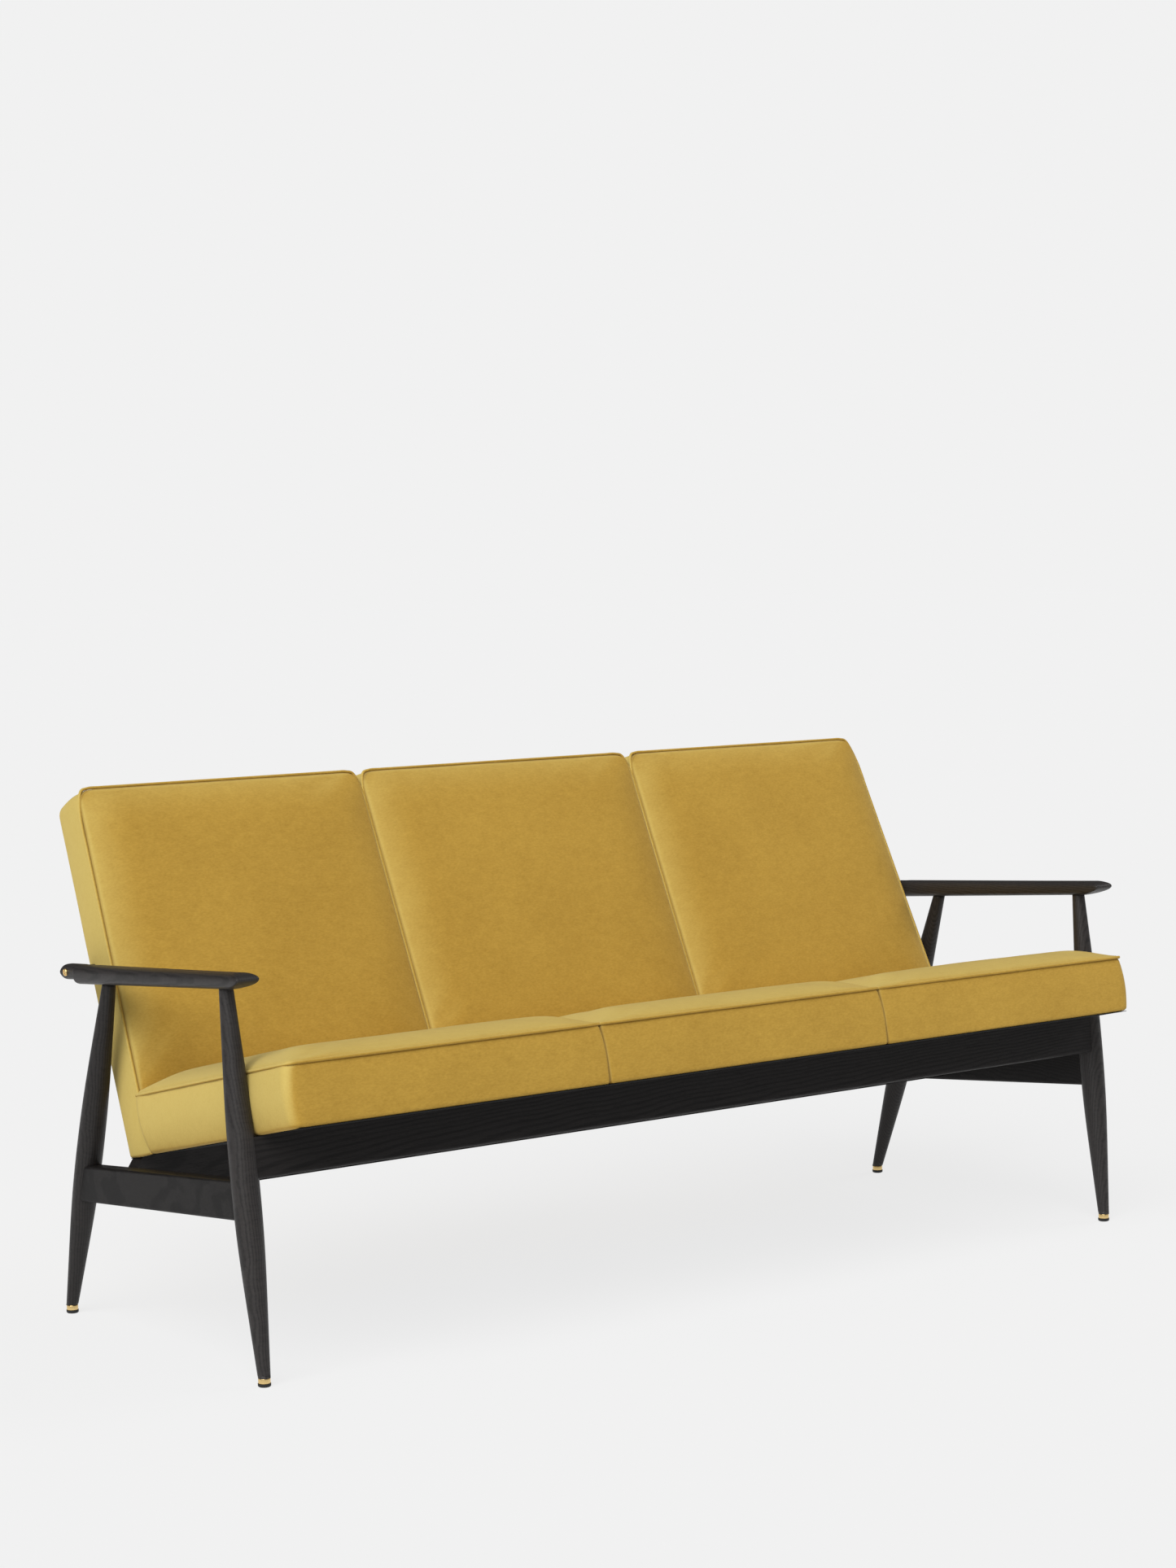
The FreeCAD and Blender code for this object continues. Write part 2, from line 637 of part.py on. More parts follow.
def section_spans(outer):
    """Left and right limits of the three sections, as expressions."""
    seam = "dims.section_half"
    gap = "dims.section_gap"
    return {
        "left": (f"-{outer}", f"-{seam} - {gap}"),
        "middle": (f"-{seam} + {gap}", f"{seam} - {gap}"),
        "right": (f"{seam} + {gap}", outer),
    }


def seat_pads():
    """Three foam and fabric sections that wrap over the seat frame."""
    flare = "dims.seat_rear_flare"
    room = "dims.overcut + dims.cover_thick + dims.frame_height + dims.strap_thick + dims.play"
    hollow = block("seat_hollow", ("-dims.seat_half_width + dims.skirt", "dims.skirt", "-dims.overcut"),
                   ("2 * (dims.seat_half_width - dims.skirt)", "2 * dims.seat_depth", room), SEAT)
    for name, (low, high) in section_spans("dims.seat_half_width").items():
        body = new_body(f"seatpad_{name}", shifted(SEAT, value(low), 0, 0))
        full = pad(body, "YZ_Plane", [
            ("0", "dims.cover_thick"),
            (f"dims.seat_depth + {flare} * dims.cover_thick", "dims.cover_thick"),
            (f"dims.seat_depth + {flare} * dims.seat_height", "dims.seat_height"),
            ("0", "dims.seat_height"),
        ], f"({high}) - ({low})")
        top = value("dims.seat_height")
        round_edges(body, full, "dims.pad_round", lambda edge: abs(edge.CenterOfMass.z - top) < NEAR)
        piece(f"seat_pad_{name}", cut(f"seat_pad_{name}", body, [hollow]))


def strap_start(number, count):
    """Left edge of one of a row of straps about the middle, as an expression."""
    return f"{number - (count - 1) / 2} * dims.strap_pitch - dims.strap_width / 2"


def seat_frame(screws, back_screws, plates):
    """Box frame, bearers, webbing and dust cover."""
    edge = "(dims.seat_half_width - dims.skirt - dims.play)"
    inner = f"({edge} - dims.frame_side)"
    front = "(dims.skirt + dims.play)"
    rear = "(dims.seat_depth - 2 * dims.play)"
    bottom = "dims.cover_thick"
    height = "dims.frame_height"
    rear_member_start = f"({rear} - dims.frame_rear)"
    span = f"2 * {inner}"
    piece("seat_front_member",
          block("sf_front", (f"-{inner}", front, bottom), (span, "dims.frame_side", height), SEAT))
    rear_member = block("sf_rear", (f"-{inner}", rear_member_start, bottom),
                        (span, "dims.frame_rear", height), SEAT)
    piece("seat_rear_member", cut("seat_rear_member", rear_member, plates))
    for side_name, side in SIDES.items():
        low = inner if side > 0 else f"-{edge}"
        member = block(f"sf_{side_name}", (low, front, bottom),
                       ("dims.frame_side", f"{rear} - {front}", height), SEAT)
        piece(f"seat_side_member_{side_name}", cut(f"seat_side_member_{side_name}", member, screws))
        middle = f"({side} * dims.section_half - dims.bearer_width / 2)"
        start = f"({front} + dims.frame_side)"
        bearer = block(f"sb_{side_name}", (middle, start, bottom),
                       ("dims.bearer_width", f"{rear_member_start} - {start}", height), SEAT)
        piece(f"seat_bearer_{side_name}", cut(f"seat_bearer_{side_name}", bearer, screws))
    straps = [
        block(f"seat_strap_{number}",
              (strap_start(number, SEAT_STRAPS), f"{front} + dims.strap_end", f"{bottom} + {height}"),
              ("dims.strap_width", f"{rear} - {front} - 2 * dims.strap_end", "dims.strap_thick"), SEAT)
        for number in range(SEAT_STRAPS)
    ]
    piece("seat_webbing", group("seat_straps", straps))
    cover = block("cover", ("-dims.back_half_width + dims.cover_inset", "dims.cover_inset / 2", "0"),
                  ("2 * (dims.back_half_width - dims.cover_inset)",
                   "dims.seat_depth + dims.back_thick - dims.cover_inset", "dims.cover_thick"), SEAT)
    piece("dust_cover", cut("dust_cover", cover, screws + back_screws))


def frame_screw(name, seat_point):
    """Screw up through a rail into a frame, and the well that its head sits in."""
    start = shifted(seat_point, 0, 0, value("dims.screw_rise - dims.screw_length"))
    head_height = value("dims.screw_head_height")
    shank = rod(f"{name}_shank", "dims.screw_radius", "dims.screw_length", start)
    head_place = shifted(start, 0, 0, -head_height)
    head = rod(f"{name}_head", "dims.screw_head_radius", "dims.screw_head_height", head_place)
    well = rod(f"{name}_well", "dims.screw_head_radius", "dims.screw_length",
               shifted(start, 0, 0, -value("dims.screw_length")))
    return fuse(name, [shank, head]), well


def screw_row(name, depth, lean, positions):
    """Screws along a rail whose middle meets the seat underside at this depth; they follow its lean."""
    turn = Rotation(Vector(1, 0, 0), -math.degrees(math.atan(lean)))
    height = value(seat_line(str(depth)))
    made = [frame_screw(f"{name}_{number}", Placement(Vector(x, depth, height), turn))
            for number, x in enumerate(positions)]
    screws = [screw for screw, _ in made]
    wells = [well for _, well in made]
    piece(name, group(f"{name}_group", screws))
    return screws, wells


def tie_plates():
    """Steel plates under the seat rear member and the back foot, each with three pairs of screws."""
    start = "(dims.seat_depth - dims.plate_ahead)"
    rows = {
        "front": value(f"{start} + dims.plate_screw_first"),
        "middle": value(f"{start} + dims.plate_screw_second"),
        "foot": value(f"{start} + dims.plate_length - dims.plate_screw_end"),
    }
    beside = value("dims.plate_screw_side")
    outer = value("dims.plate_out")
    plates = []
    screws = []
    for number, x in enumerate((-outer, 0, outer)):
        plates.append(block(f"plate_{number}", (f"{x} - dims.plate_width / 2", start, "dims.cover_thick"),
                            ("dims.plate_width", "dims.plate_length", "dims.plate_thick"), SEAT))
        for row, depth in rows.items():
            for side_name, side in SIDES.items():
                place = shifted(SEAT, x + side * beside, depth, value("dims.cover_thick"))
                screws.append(rod(f"plate_screw_{number}_{row}_{side_name}", "dims.plate_screw_radius",
                                  "dims.plate_screw_length", place))
    all_screws = group("tie_screw_group", screws)
    all_plates = group("tie_plate_group", plates)
    piece("tie_plates", cut("tie_plates", all_plates, [all_screws]))
    piece("tie_screws", all_screws)
    return [all_plates, all_screws]


# ---- backrest ------------------------------------------------------------------------------------------

def below_seat_plane():
    """Everything under the level of the dust cover's top face."""
    deep = "dims.seat_depth / 2"
    return block("below_seat_plane", ("-dims.leg_plane", deep, f"-{deep}"),
                 ("2 * dims.leg_plane", "dims.seat_depth", f"{deep} + dims.cover_thick"), SEAT)


def slab(name, corners, front, thick):
    """Board of any outline in the plane of the backrest."""
    body = new_body(name, shifted(BACK, 0, value(front), 0))
    feature = pad(body, "XZ_Plane", corners, thick, reverse=True)
    return body, feature


def back_sections():
    """Outline of each backrest section in the plane of the backrest."""
    low = section_spans(half_back("0"))
    high = section_spans(half_back("dims.back_height"))
    return {
        name: [(low[name][0], "0"), (low[name][1], "0"),
               (high[name][1], "dims.back_height"), (high[name][0], "dims.back_height")]
        for name in low
    }


def section_slab(name, corners, front, thick):
    """Board with the outline of a section and its rounded upper corners."""
    body, full = slab(name, corners, front, thick)
    top = value("dims.back_height")

    def upper_corner(edge):
        return runs_along(edge, Vector(0, 1, 0)) and edge.CenterOfMass.z > top - NEAR

    return body, round_edges(body, full, "dims.back_corner", upper_corner)


def back_pads(under, bores):
    """Three foam and fabric sections that wrap over the back frame, and the panels behind them."""
    top = "dims.back_height"
    skin = "dims.back_skirt"
    low = "(-dims.overcut)"
    hollow, _ = slab("back_hollow", [
        (f"-{half_back(low)} + {skin}", low),
        (f"{half_back(low)} - {skin}", low),
        (f"{half_back(top)} - {skin}", f"{top} - {skin}"),
        (f"-{half_back(top)} + {skin}", f"{top} - {skin}"),
    ], "dims.back_frame_front - dims.strap_thick - dims.play / 2", "dims.back_thick")
    for name, corners in back_sections().items():
        body, cornered = section_slab(f"backpad_{name}", corners, "0", "dims.back_pad_depth")
        round_edges(body, cornered, "dims.pad_round", lambda edge: abs(edge.CenterOfMass.y) < NEAR)
        piece(f"back_pad_{name}", cut(f"back_pad_{name}", body, [under, hollow] + bores))
        panel, _ = section_slab(f"backpanel_{name}", corners, "dims.back_pad_depth + dims.panel_gap",
                                "dims.back_thick - dims.back_pad_depth - dims.panel_gap")
        piece(f"back_panel_{name}", cut(f"back_panel_{name}", panel, [under]))


def back_frame(under, bolt_holes, screws, plates):
    """Stiles, top and bottom members, posts and webbing."""
    skin = "dims.back_skirt + dims.play / 2"
    front = "dims.back_frame_front"
    thick = "dims.back_frame_thick"
    top = "(dims.back_height - dims.back_frame_drop)"
    rail_top = f"({top} - dims.stile_width)"
    rail_low = "dims.lower_member_top"
    inner = {h: f"({half_back(h)} - {skin} - dims.stile_width)" for h in ("0", top, rail_top, rail_low)}
    for side_name, side in SIDES.items():
        stile, _ = slab(f"stile_{side_name}", [
            (f"{side} * ({half_back('0')} - {skin})", "0"),
            (f"{side} * ({half_back(top)} - {skin})", top),
            (f"{side} * {inner[top]}", top),
            (f"{side} * {inner['0']}", "0"),
        ], front, thick)
        tools = [under] + bolt_holes[side_name]
        piece(f"back_stile_{side_name}", cut(f"back_stile_{side_name}", stile, tools))
        middle = f"({side} * dims.section_half)"
        post, _ = slab(f"post_{side_name}", [
            (f"{middle} - dims.bearer_width / 2", rail_low),
            (f"{middle} + dims.bearer_width / 2", rail_low),
            (f"{middle} + dims.bearer_width / 2", rail_top),
            (f"{middle} - dims.bearer_width / 2", rail_top),
        ], front, thick)
        piece(f"back_post_{side_name}", post)
    upper, _ = slab("uppermember", [
        (f"-{inner[rail_top]}", rail_top),
        (inner[rail_top], rail_top),
        (inner[top], top),
        (f"-{inner[top]}", top),
    ], front, thick)
    piece("back_top_member", upper)
    lower, _ = slab("lowermember", [
        (f"-{inner['0']}", "0"),
        (inner["0"], "0"),
        (inner[rail_low], rail_low),
        (f"-{inner[rail_low]}", rail_low),
    ], front, thick)
    piece("back_bottom_member", cut("back_bottom_member", lower, [under] + screws + plates))
    strap_length = f"{top} - dims.back_strap_foot - 2 * dims.strap_end"
    straps = [
        block(f"back_strap_{number}",
              (strap_start(number, BACK_STRAPS), f"{front} - dims.strap_thick", "dims.back_strap_foot"),
              ("dims.strap_width", "dims.strap_thick", strap_length), BACK)
        for number in range(BACK_STRAPS)
    ]
    piece("back_webbing", group("back_straps", straps))


# ---- assembly ------------------------------------------------------------------------------------------

def build():
    blanks = {(side, row): leg_blank(side, row) for side in SIDES for row in LEGS}
    apron = apron_blank()
    rear_rail = rear_rail_blank()
    apron_dowels = {side: apron_joint(side) for side in SIDES}
    rear_dowels = {side: rear_rail_joint(side) for side in SIDES}
    side_dowels = {(side, row): side_joint(side, row) for side in SIDES for row in LEGS}
    plates = tie_plates()

    apron_middle = value(f"{axis_y('front', 'dims.apron_top')} - dims.apron_forward + dims.apron_thick / 2")
    side_member = value("dims.seat_half_width - dims.skirt - dims.play - dims.frame_side / 2")
    seam = value("dims.section_half")
    positions = (-side_member, -seam, seam, side_member)
    seat_screws, seat_wells = screw_row("seat_screws", apron_middle, value("dims.front_lean"), positions)
    rear_middle = value("dims.rear_rail_front + dims.apron_thick / 2")
    outer = value("dims.rear_screw_out")
    back_screws, back_wells = screw_row("back_screws", rear_middle, 0, (-outer, -seam, seam, outer))

    bores = []
    bolt_holes = {}
    for side in SIDES:
        bolt, place, face = arm_bolt(side)
        wood, sleeve = spacer_and_insert(side, bolt, place, face)
        bores.append(wood)
        bolt_holes[side] = [sleeve, bolt]
        legs = [blanks[side, "front"], blanks[side, "rear"]]
        armrest(side, legs, bolt)
        rail = side_rail_blank(side)
        in_rail = side_dowels[side, "front"] + side_dowels[side, "rear"] + rear_dowels[side]
        piece(f"side_rail_{side}", cut(f"side_rail_{side}", rail, legs + in_rail))
        leg(side, "front", blanks[side, "front"], side_dowels[side, "front"] + apron_dowels[side])
        leg(side, "rear", blanks[side, "rear"], side_dowels[side, "rear"])
        both_ends = side_dowels[side, "front"] + side_dowels[side, "rear"]
        piece(f"side_rail_dowels_{side}", group(f"side_rail_dowels_{side}_group", both_ends))

    front_legs = [blanks[side, "front"] for side in SIDES]
    in_apron = apron_dowels["left"] + apron_dowels["right"] + seat_screws + seat_wells
    piece("front_rail", cut("front_rail", apron, front_legs + in_apron))
    piece("front_rail_dowels", group("front_rail_dowel_group", apron_dowels["left"] + apron_dowels["right"]))
    in_rear = rear_dowels["left"] + rear_dowels["right"] + back_screws + back_wells
    piece("rear_rail", cut("rear_rail", rear_rail, in_rear))
    piece("rear_rail_dowels", group("rear_rail_dowel_group", rear_dowels["left"] + rear_dowels["right"]))

    seat_pads()
    seat_frame(seat_screws, back_screws, plates)
    under = below_seat_plane()
    back_pads(under, bores + plates)
    back_frame(under, bolt_holes, back_screws, plates)


def check_and_write():
    """Stop on any failed object, then write one file per sub-part."""
    doc.recompute()
    failed = [f.Name for f in doc.Objects if "Invalid" in f.State or "Error" in f.State]
    if failed:
        raise RuntimeError(f"failed objects: {', '.join(failed)}")
    os.makedirs("parts", exist_ok=True)
    for feature in pieces:
        shape = feature.Shape
        if shape.isNull() or not shape.isValid() or not shape.Solids:
            raise RuntimeError(f"{feature.Label} has no valid solid")
        shape.exportStep(f"parts/{feature.Label}.step")
        box = shape.BoundBox
        print(f"{feature.Label:28s} solids {len(shape.Solids):2d} volume {shape.Volume / 1000:9.1f} cm3 "
              f"x {box.XMin:7.1f} {box.XMax:7.1f} y {box.YMin:7.1f} {box.YMax:7.1f} "
              f"z {box.ZMin:6.1f} {box.ZMax:6.1f}")


build()
check_and_write()
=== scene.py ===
"""Three-seat sofa with turned wooden legs: its visible pieces, finishes, studio and camera."""
import json
import math

import bmesh
import bpy
import numpy as np
from mathutils import Matrix, Vector, noise


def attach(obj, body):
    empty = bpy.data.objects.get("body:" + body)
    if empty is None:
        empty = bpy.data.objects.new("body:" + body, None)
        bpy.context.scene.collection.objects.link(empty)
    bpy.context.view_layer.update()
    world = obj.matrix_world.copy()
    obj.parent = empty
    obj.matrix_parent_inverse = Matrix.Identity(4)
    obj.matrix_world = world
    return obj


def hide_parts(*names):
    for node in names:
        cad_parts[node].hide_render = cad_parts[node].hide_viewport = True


bl_info = {
    "name": "Sofa with wooden legs",
    "version": (1, 0, 0),
    "blender": (4, 5, 0),
    "location": "View3D > Sidebar > Sofa",
    "description": "Builds the cushions, the turned frame, the finishes and the studio of a sofa",
    "category": "Object",
}

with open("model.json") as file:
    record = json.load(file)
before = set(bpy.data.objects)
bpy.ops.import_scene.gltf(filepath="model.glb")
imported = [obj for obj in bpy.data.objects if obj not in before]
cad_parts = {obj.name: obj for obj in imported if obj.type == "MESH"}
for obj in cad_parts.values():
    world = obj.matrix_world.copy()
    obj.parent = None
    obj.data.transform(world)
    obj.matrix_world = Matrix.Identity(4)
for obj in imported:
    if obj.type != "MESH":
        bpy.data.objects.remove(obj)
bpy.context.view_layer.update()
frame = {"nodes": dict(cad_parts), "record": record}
NODES = frame["nodes"]
RECORD = frame["record"]
SIDES = {"left": -1, "right": 1}
MM = 0.001


# ---- sizes and colours that a user may change ----------------------------------------------------------

def length(name, description, default):
    return bpy.props.FloatProperty(name=name, description=description, default=default,
                                   unit="LENGTH", precision=4)


def colour(name, description, default):
    return bpy.props.FloatVectorProperty(name=name, description=description, default=default, size=3,
                                         subtype="COLOR", min=0, max=1)


class SofaFrameSizes(bpy.types.PropertyGroup):
    """Sizes of the wooden frame."""
    leg_plane: length("Leg plane", "Leg axes from the middle of the sofa", 0.838)
    foot_front: length("Front foot", "Depth position of the front feet", -0.2936)
    foot_rear: length("Rear foot", "Depth position of the rear feet", 0.2896)
    ferrule_top: length("Ferrule top", "Height at which the wood of a leg starts", 0.013)
    arm_height: length("Armrest height", "Armrest underside at the front leg", 0.560)
    foot_radius: length("Foot radius", "Leg radius at the ferrule", 0.0091)
    swell_radius: length("Swell radius", "Leg radius at its thickest", 0.0204)
    top_radius: length("Top radius", "Leg radius under the armrest", 0.0103)
    arm_half_width: length("Armrest half width", "Half the width of the armrest bar", 0.019)


class SofaCushionSizes(bpy.types.PropertyGroup):
    """Sizes of the upholstery."""
    seat_border: length("Seat border", "Height of the seat from its underside to the piping", 0.090)
    seat_crown: length("Seat crown", "Rise of the seat panels above the piping", 0.023)
    back_crown: length("Back crown", "Rise of the back panels in front of the piping", 0.016)
    swell: length("Swell", "Most that the filling pushes the cloth out", 0.005)
    cord: length("Piping radius", "Radius of the piping cord", 0.0024)
    cell: length("Cell", "Mesh size of the cloth", 0.009)


class SofaFinishes(bpy.types.PropertyGroup):
    """Colours of the finishes."""
    velvet: colour("Velvet", "Pile seen straight on", (0.50, 0.31, 0.055))
    velvet_shade: colour("Velvet shade", "Pile that lies away from the light", (0.335, 0.192, 0.028))
    # painted shade: colour laid into the grooves beside the piping and at the seams
    velvet_painted_groove_shade: colour("Velvet crease", "Pile pressed into a seam", (0.17, 0.075, 0.008))
    # painted light: colour given to faces that turn towards the key light
    velvet_painted_lit_side: colour("Brushed velvet", "Pile that leans towards the light", (0.56, 0.42, 0.12))
    velvet_sheen: colour("Velvet sheen", "Light caught by the tips of the pile", (1.0, 0.9, 0.5))
    stain: colour("Stain", "Stained ash between the pores", (0.031, 0.0275, 0.0265))
    stain_grain: colour("Grain", "Late wood under the stain", (0.0075, 0.007, 0.007))
    brass: colour("Brass", "Ferrules and bolts", (0.72, 0.47, 0.17))
    floor: colour("Floor", "Studio floor", (0.095, 0.095, 0.095))


# ---- shader expressions --------------------------------------------------------------------------------

class Wire:
    """A socket that takes part in expressions; each operator adds its Math node."""

    def __init__(self, shader, socket):
        self.shader = shader
        self.socket = socket

    def _math(self, operation, *values):
        return self.shader.node("ShaderNodeMath", {"operation": operation}, dict(enumerate(values)))

    def __add__(self, other):
        return self._math("ADD", self, other)

    __radd__ = __add__

    def __sub__(self, other):
        return self._math("SUBTRACT", self, other)

    def __rsub__(self, other):
        return self._math("SUBTRACT", other, self)

    def __mul__(self, other):
        return self._math("MULTIPLY", self, other)

    __rmul__ = __mul__

    def __truediv__(self, other):
        return self._math("DIVIDE", self, other)

    def __pow__(self, other):
        return self._math("POWER", self, other)

    def clamp(self):
        return self.shader.node("ShaderNodeClamp", {}, {0: self})

    def sine(self):
        return self._math("SINE", self)

    def steps(self, low, high):
        """0 below low, 1 above high, smooth between."""
        return self.shader.node("ShaderNodeMapRange", {"interpolation_type": "SMOOTHSTEP"},
                                {0: self, 1: low, 2: high, 3: 0.0, 4: 1.0})


class Shader:
    """A material and the few ways in which its nodes are added."""

    def __init__(self, name, **constants):
        self.material = bpy.data.materials.new(name)
        self.material.use_nodes = True
        self.tree = self.material.node_tree
        self.surface = self.tree.nodes["Principled BSDF"]
        for socket, number in constants.items():
            self.surface.inputs[socket.replace("_", " ")].default_value = number

    def node(self, kind, settings, inputs, output=0):
        """Any node: settings first, then the values or links of its sockets."""
        made = self.tree.nodes.new(kind)
        for name, setting in settings.items():
            setattr(made, name, setting)
        for socket, given in inputs.items():
            self.connect(made.inputs[socket], given)
        return Wire(self, made.outputs[output])

    def connect(self, socket, given):
        if isinstance(given, Wire):
            self.tree.links.new(given.socket, socket)
        else:
            socket.default_value = given

    def set(self, socket, given):
        self.connect(self.surface.inputs[socket], given)

    def place(self, turn=(0, 0, 0), stretch=(1, 1, 1), offset=(0, 0, 0)):
        """Object coordinates, moved, turned and stretched."""
        coordinates = self.node("ShaderNodeTexCoord", {}, {}, output="Object")
        return self.node("ShaderNodeMapping", {"vector_type": "POINT"},
                         {"Vector": coordinates, "Location": offset, "Rotation": turn, "Scale": stretch})

    def noise(self, place, scale, detail=2.0, roughness=0.5, distortion=0.0):
        return self.node("ShaderNodeTexNoise", {"noise_dimensions": "3D"},
                         {"Vector": place, "Scale": scale, "Detail": detail, "Roughness": roughness,
                          "Distortion": distortion})

    def mix(self, mask, first, second):
        """Colours mixed by a mask."""
        made = self.tree.nodes.new("ShaderNodeMix")
        made.data_type = "RGBA"
        sockets = (made.inputs["Factor"], made.inputs[6], made.inputs[7])
        for socket, given in zip(sockets, (mask, first, second)):
            self.connect(socket, (*given, 1.0) if isinstance(given, tuple) else given)
        return Wire(self, made.outputs[2])

    def bump(self, height, strength, distance):
        made = self.node("ShaderNodeBump", {}, {"Strength": strength, "Distance": distance, "Height": height})
        self.set("Normal", made)


def velvet_finish(finishes):
    """Short-pile velvet: soft mottling where the pile leans, a fine nap and a warm sheen.

    Faces turned up and to the left, towards the key light, get a paler colour: painted light. The grooves
    beside the piping and at the seams get a darker colour: painted shade.
    """
    shader = Shader("mustard_velvet", Specular_IOR_Level=0.1, Sheen_Weight=0.35, Sheen_Roughness=0.4,
                    Sheen_Tint=(*finishes.velvet_sheen, 1.0))
    place = shader.place()
    drift = shader.noise(place, 7.0, detail=3.0)
    crush = shader.noise(shader.place(stretch=(0.6, 1.0, 1.0)), 90.0, detail=4.0, roughness=0.6)
    nap = shader.noise(shader.place(stretch=(0.45, 1.0, 1.0)), 420.0, detail=3.0)
    mask = (drift * 0.5 + crush * 0.6 + nap * 1.0 - 0.52).clamp()
    brushed = shader.node("ShaderNodeAttribute", {"attribute_name": "brushed"}, {}, output="Fac")
    pile = shader.mix(mask, tuple(finishes.velvet_shade), tuple(finishes.velvet))
    # painted light: paler colour on faces that turn towards the key light
    painted_lit_share = (brushed * (0.6 + 0.3 * crush + 0.4 * nap)).clamp()
    painted_lit_pile = shader.mix(painted_lit_share, pile, tuple(finishes.velvet_painted_lit_side))
    # painted shade: darker colour in the grooves beside the piping and at the seams
    crease = shader.node("ShaderNodeAttribute", {"attribute_name": "crease"}, {}, output="Fac")
    shader.set("Base Color", shader.mix((crease * 0.6).clamp(), painted_lit_pile, tuple(finishes.velvet_painted_groove_shade)))
    shader.set("Roughness", (0.84 + (nap - 0.5) * 0.2).clamp())
    shader.bump(nap * 0.6 + crush * 0.8, 0.35, 0.0006)
    return shader.material


def ash_finish(name, finishes, turn, offset, depth=1.0):
    """Near-black stained ash; a depth below 1 darkens its colour as painted shade and dims its gloss.

    The grain runs along X of the turned coordinates.
    """
    shader = Shader(name, Specular_IOR_Level=0.3 * depth)
    place = shader.place(turn=turn, offset=offset)
    wander = shader.noise(shader.place(turn=turn, offset=offset, stretch=(0.35, 1, 1)), 14.0, detail=2.0)
    parts = shader.tree.nodes.new("ShaderNodeSeparateXYZ")
    shader.connect(parts.inputs[0], place)
    along, across, up = (Wire(shader, socket) for socket in parts.outputs)
    tilted = across + along * 0.035
    from_pith = (tilted * tilted + up * up) ** 0.5
    rings = ((from_pith + wander * 0.011) * 1650.0).sine() * 0.5 + 0.5
    late_wood = rings.steps(0.35, 0.95)
    pores = shader.noise(shader.place(turn=turn, stretch=(0.03, 1, 1)), 1500.0, detail=3.0, roughness=0.65)
    streaks = shader.noise(shader.place(turn=turn, stretch=(0.06, 1, 1)), 260.0, detail=3.0)
    open_pores = pores.steps(0.5, 0.68) * (0.35 + 0.65 * (1 - late_wood))
    mask = (late_wood * 0.5 + open_pores * 0.55 + (streaks - 0.5) * 1.1).clamp()
    # painted shade: depth darkens both colours of the stain
    pale, dark = (tuple(part * depth for part in tint) for tint in (finishes.stain, finishes.stain_grain))
    shader.set("Base Color", shader.mix(mask, pale, dark))
    shader.set("Roughness", (0.4 + open_pores * 0.25 + late_wood * 0.06).clamp())
    shader.bump(1 - (open_pores * 0.7 + late_wood * 0.3), 0.4, 0.0004)
    return shader.material


def raw_wood_finish(name, tint, turn=(0, 0, 0)):
    """Planed timber that is never stained: inner frame, dowels."""
    shader = Shader(name, Specular_IOR_Level=0.3)
    grain = shader.noise(shader.place(turn=turn, stretch=(0.05, 1, 1)), 160.0, detail=4.0)
    dark = tuple(part * 0.72 for part in tint)
    shader.set("Base Color", shader.mix(grain.steps(0.35, 0.65), dark, tint))
    shader.set("Roughness", (0.55 + grain * 0.2).clamp())
    shader.bump(grain, 0.25, 0.0004)
    return shader.material


def brass_finish(finishes):
    """Brushed brass with a slight tarnish."""
    shader = Shader("brass", Metallic=1.0)
    brush = shader.noise(shader.place(stretch=(1, 1, 14)), 420.0, detail=2.0)
    tarnish = shader.noise(shader.place(), 60.0, detail=3.0)
    bright = tuple(finishes.brass)
    dull = tuple(part * 0.7 for part in bright)
    shader.set("Base Color", shader.mix(tarnish.steps(0.45, 0.75), bright, dull))
    shader.set("Roughness", (0.24 + brush * 0.14 + tarnish * 0.08).clamp())
    shader.bump(brush, 0.12, 0.0002)
    return shader.material


def moulded_finish(name, tint):
    """Moulded plastic with a fine grain."""
    shader = Shader(name, Specular_IOR_Level=0.4)
    grain = shader.noise(shader.place(), 1400.0, detail=2.0)
    shader.set("Base Color", shader.mix(grain, tint, tuple(part * 1.5 for part in tint)))
    shader.set("Roughness", (0.5 + grain * 0.15).clamp())
    shader.bump(grain, 0.2, 0.0002)
    return shader.material


def woven_finish(name, tint, pitch):
    """Plain weave: threads of one colour, over and under."""
    shader = Shader(name, Specular_IOR_Level=0.15)
    parts = shader.tree.nodes.new("ShaderNodeSeparateXYZ")
    shader.connect(parts.inputs[0], shader.place())
    across, along, up = (Wire(shader, socket) for socket in parts.outputs)
    turns = 2 * math.pi / pitch
    threads = ((across * turns).sine() * ((along + up) * turns).sine()) * 0.5 + 0.5
    lint = shader.noise(shader.place(), 300.0, detail=3.0)
    shade = tuple(part * 0.55 for part in tint)
    shader.set("Base Color", shader.mix((threads * 0.6 + lint * 0.4).clamp(), shade, tint))
    shader.set("Roughness", (0.8 + lint * 0.15).clamp())
    shader.bump(threads, 0.4, 0.0004)
    return shader.material


def steel_finish():
    """Zinc-plated steel."""
    shader = Shader("plated_steel", Metallic=1.0)
    spangle = shader.noise(shader.place(), 240.0, detail=3.0)
    shader.set("Base Color", shader.mix(spangle, (0.5, 0.5, 0.52), (0.68, 0.68, 0.7)))
    shader.set("Roughness", (0.3 + spangle * 0.2).clamp())
    shader.bump(spangle, 0.1, 0.0002)
    return shader.material


# ---- general helpers -----------------------------------------------------------------------------------

def new_object(name, mesh, material, smooth=True):
    """A piece at the origin with one material."""
    made = bpy.data.objects.new(name, mesh)
    bpy.context.scene.collection.objects.link(made)
    mesh.materials.clear()
    mesh.materials.append(material)
    mesh.shade_smooth() if smooth else mesh.shade_flat()
    return made


def material(name):
    return bpy.data.materials[name]


def rotation_x(angle):
    """Axes of a frame turned about X: its Y and Z directions."""
    return Vector((0, math.cos(angle), math.sin(angle))), Vector((0, -math.sin(angle), math.cos(angle)))


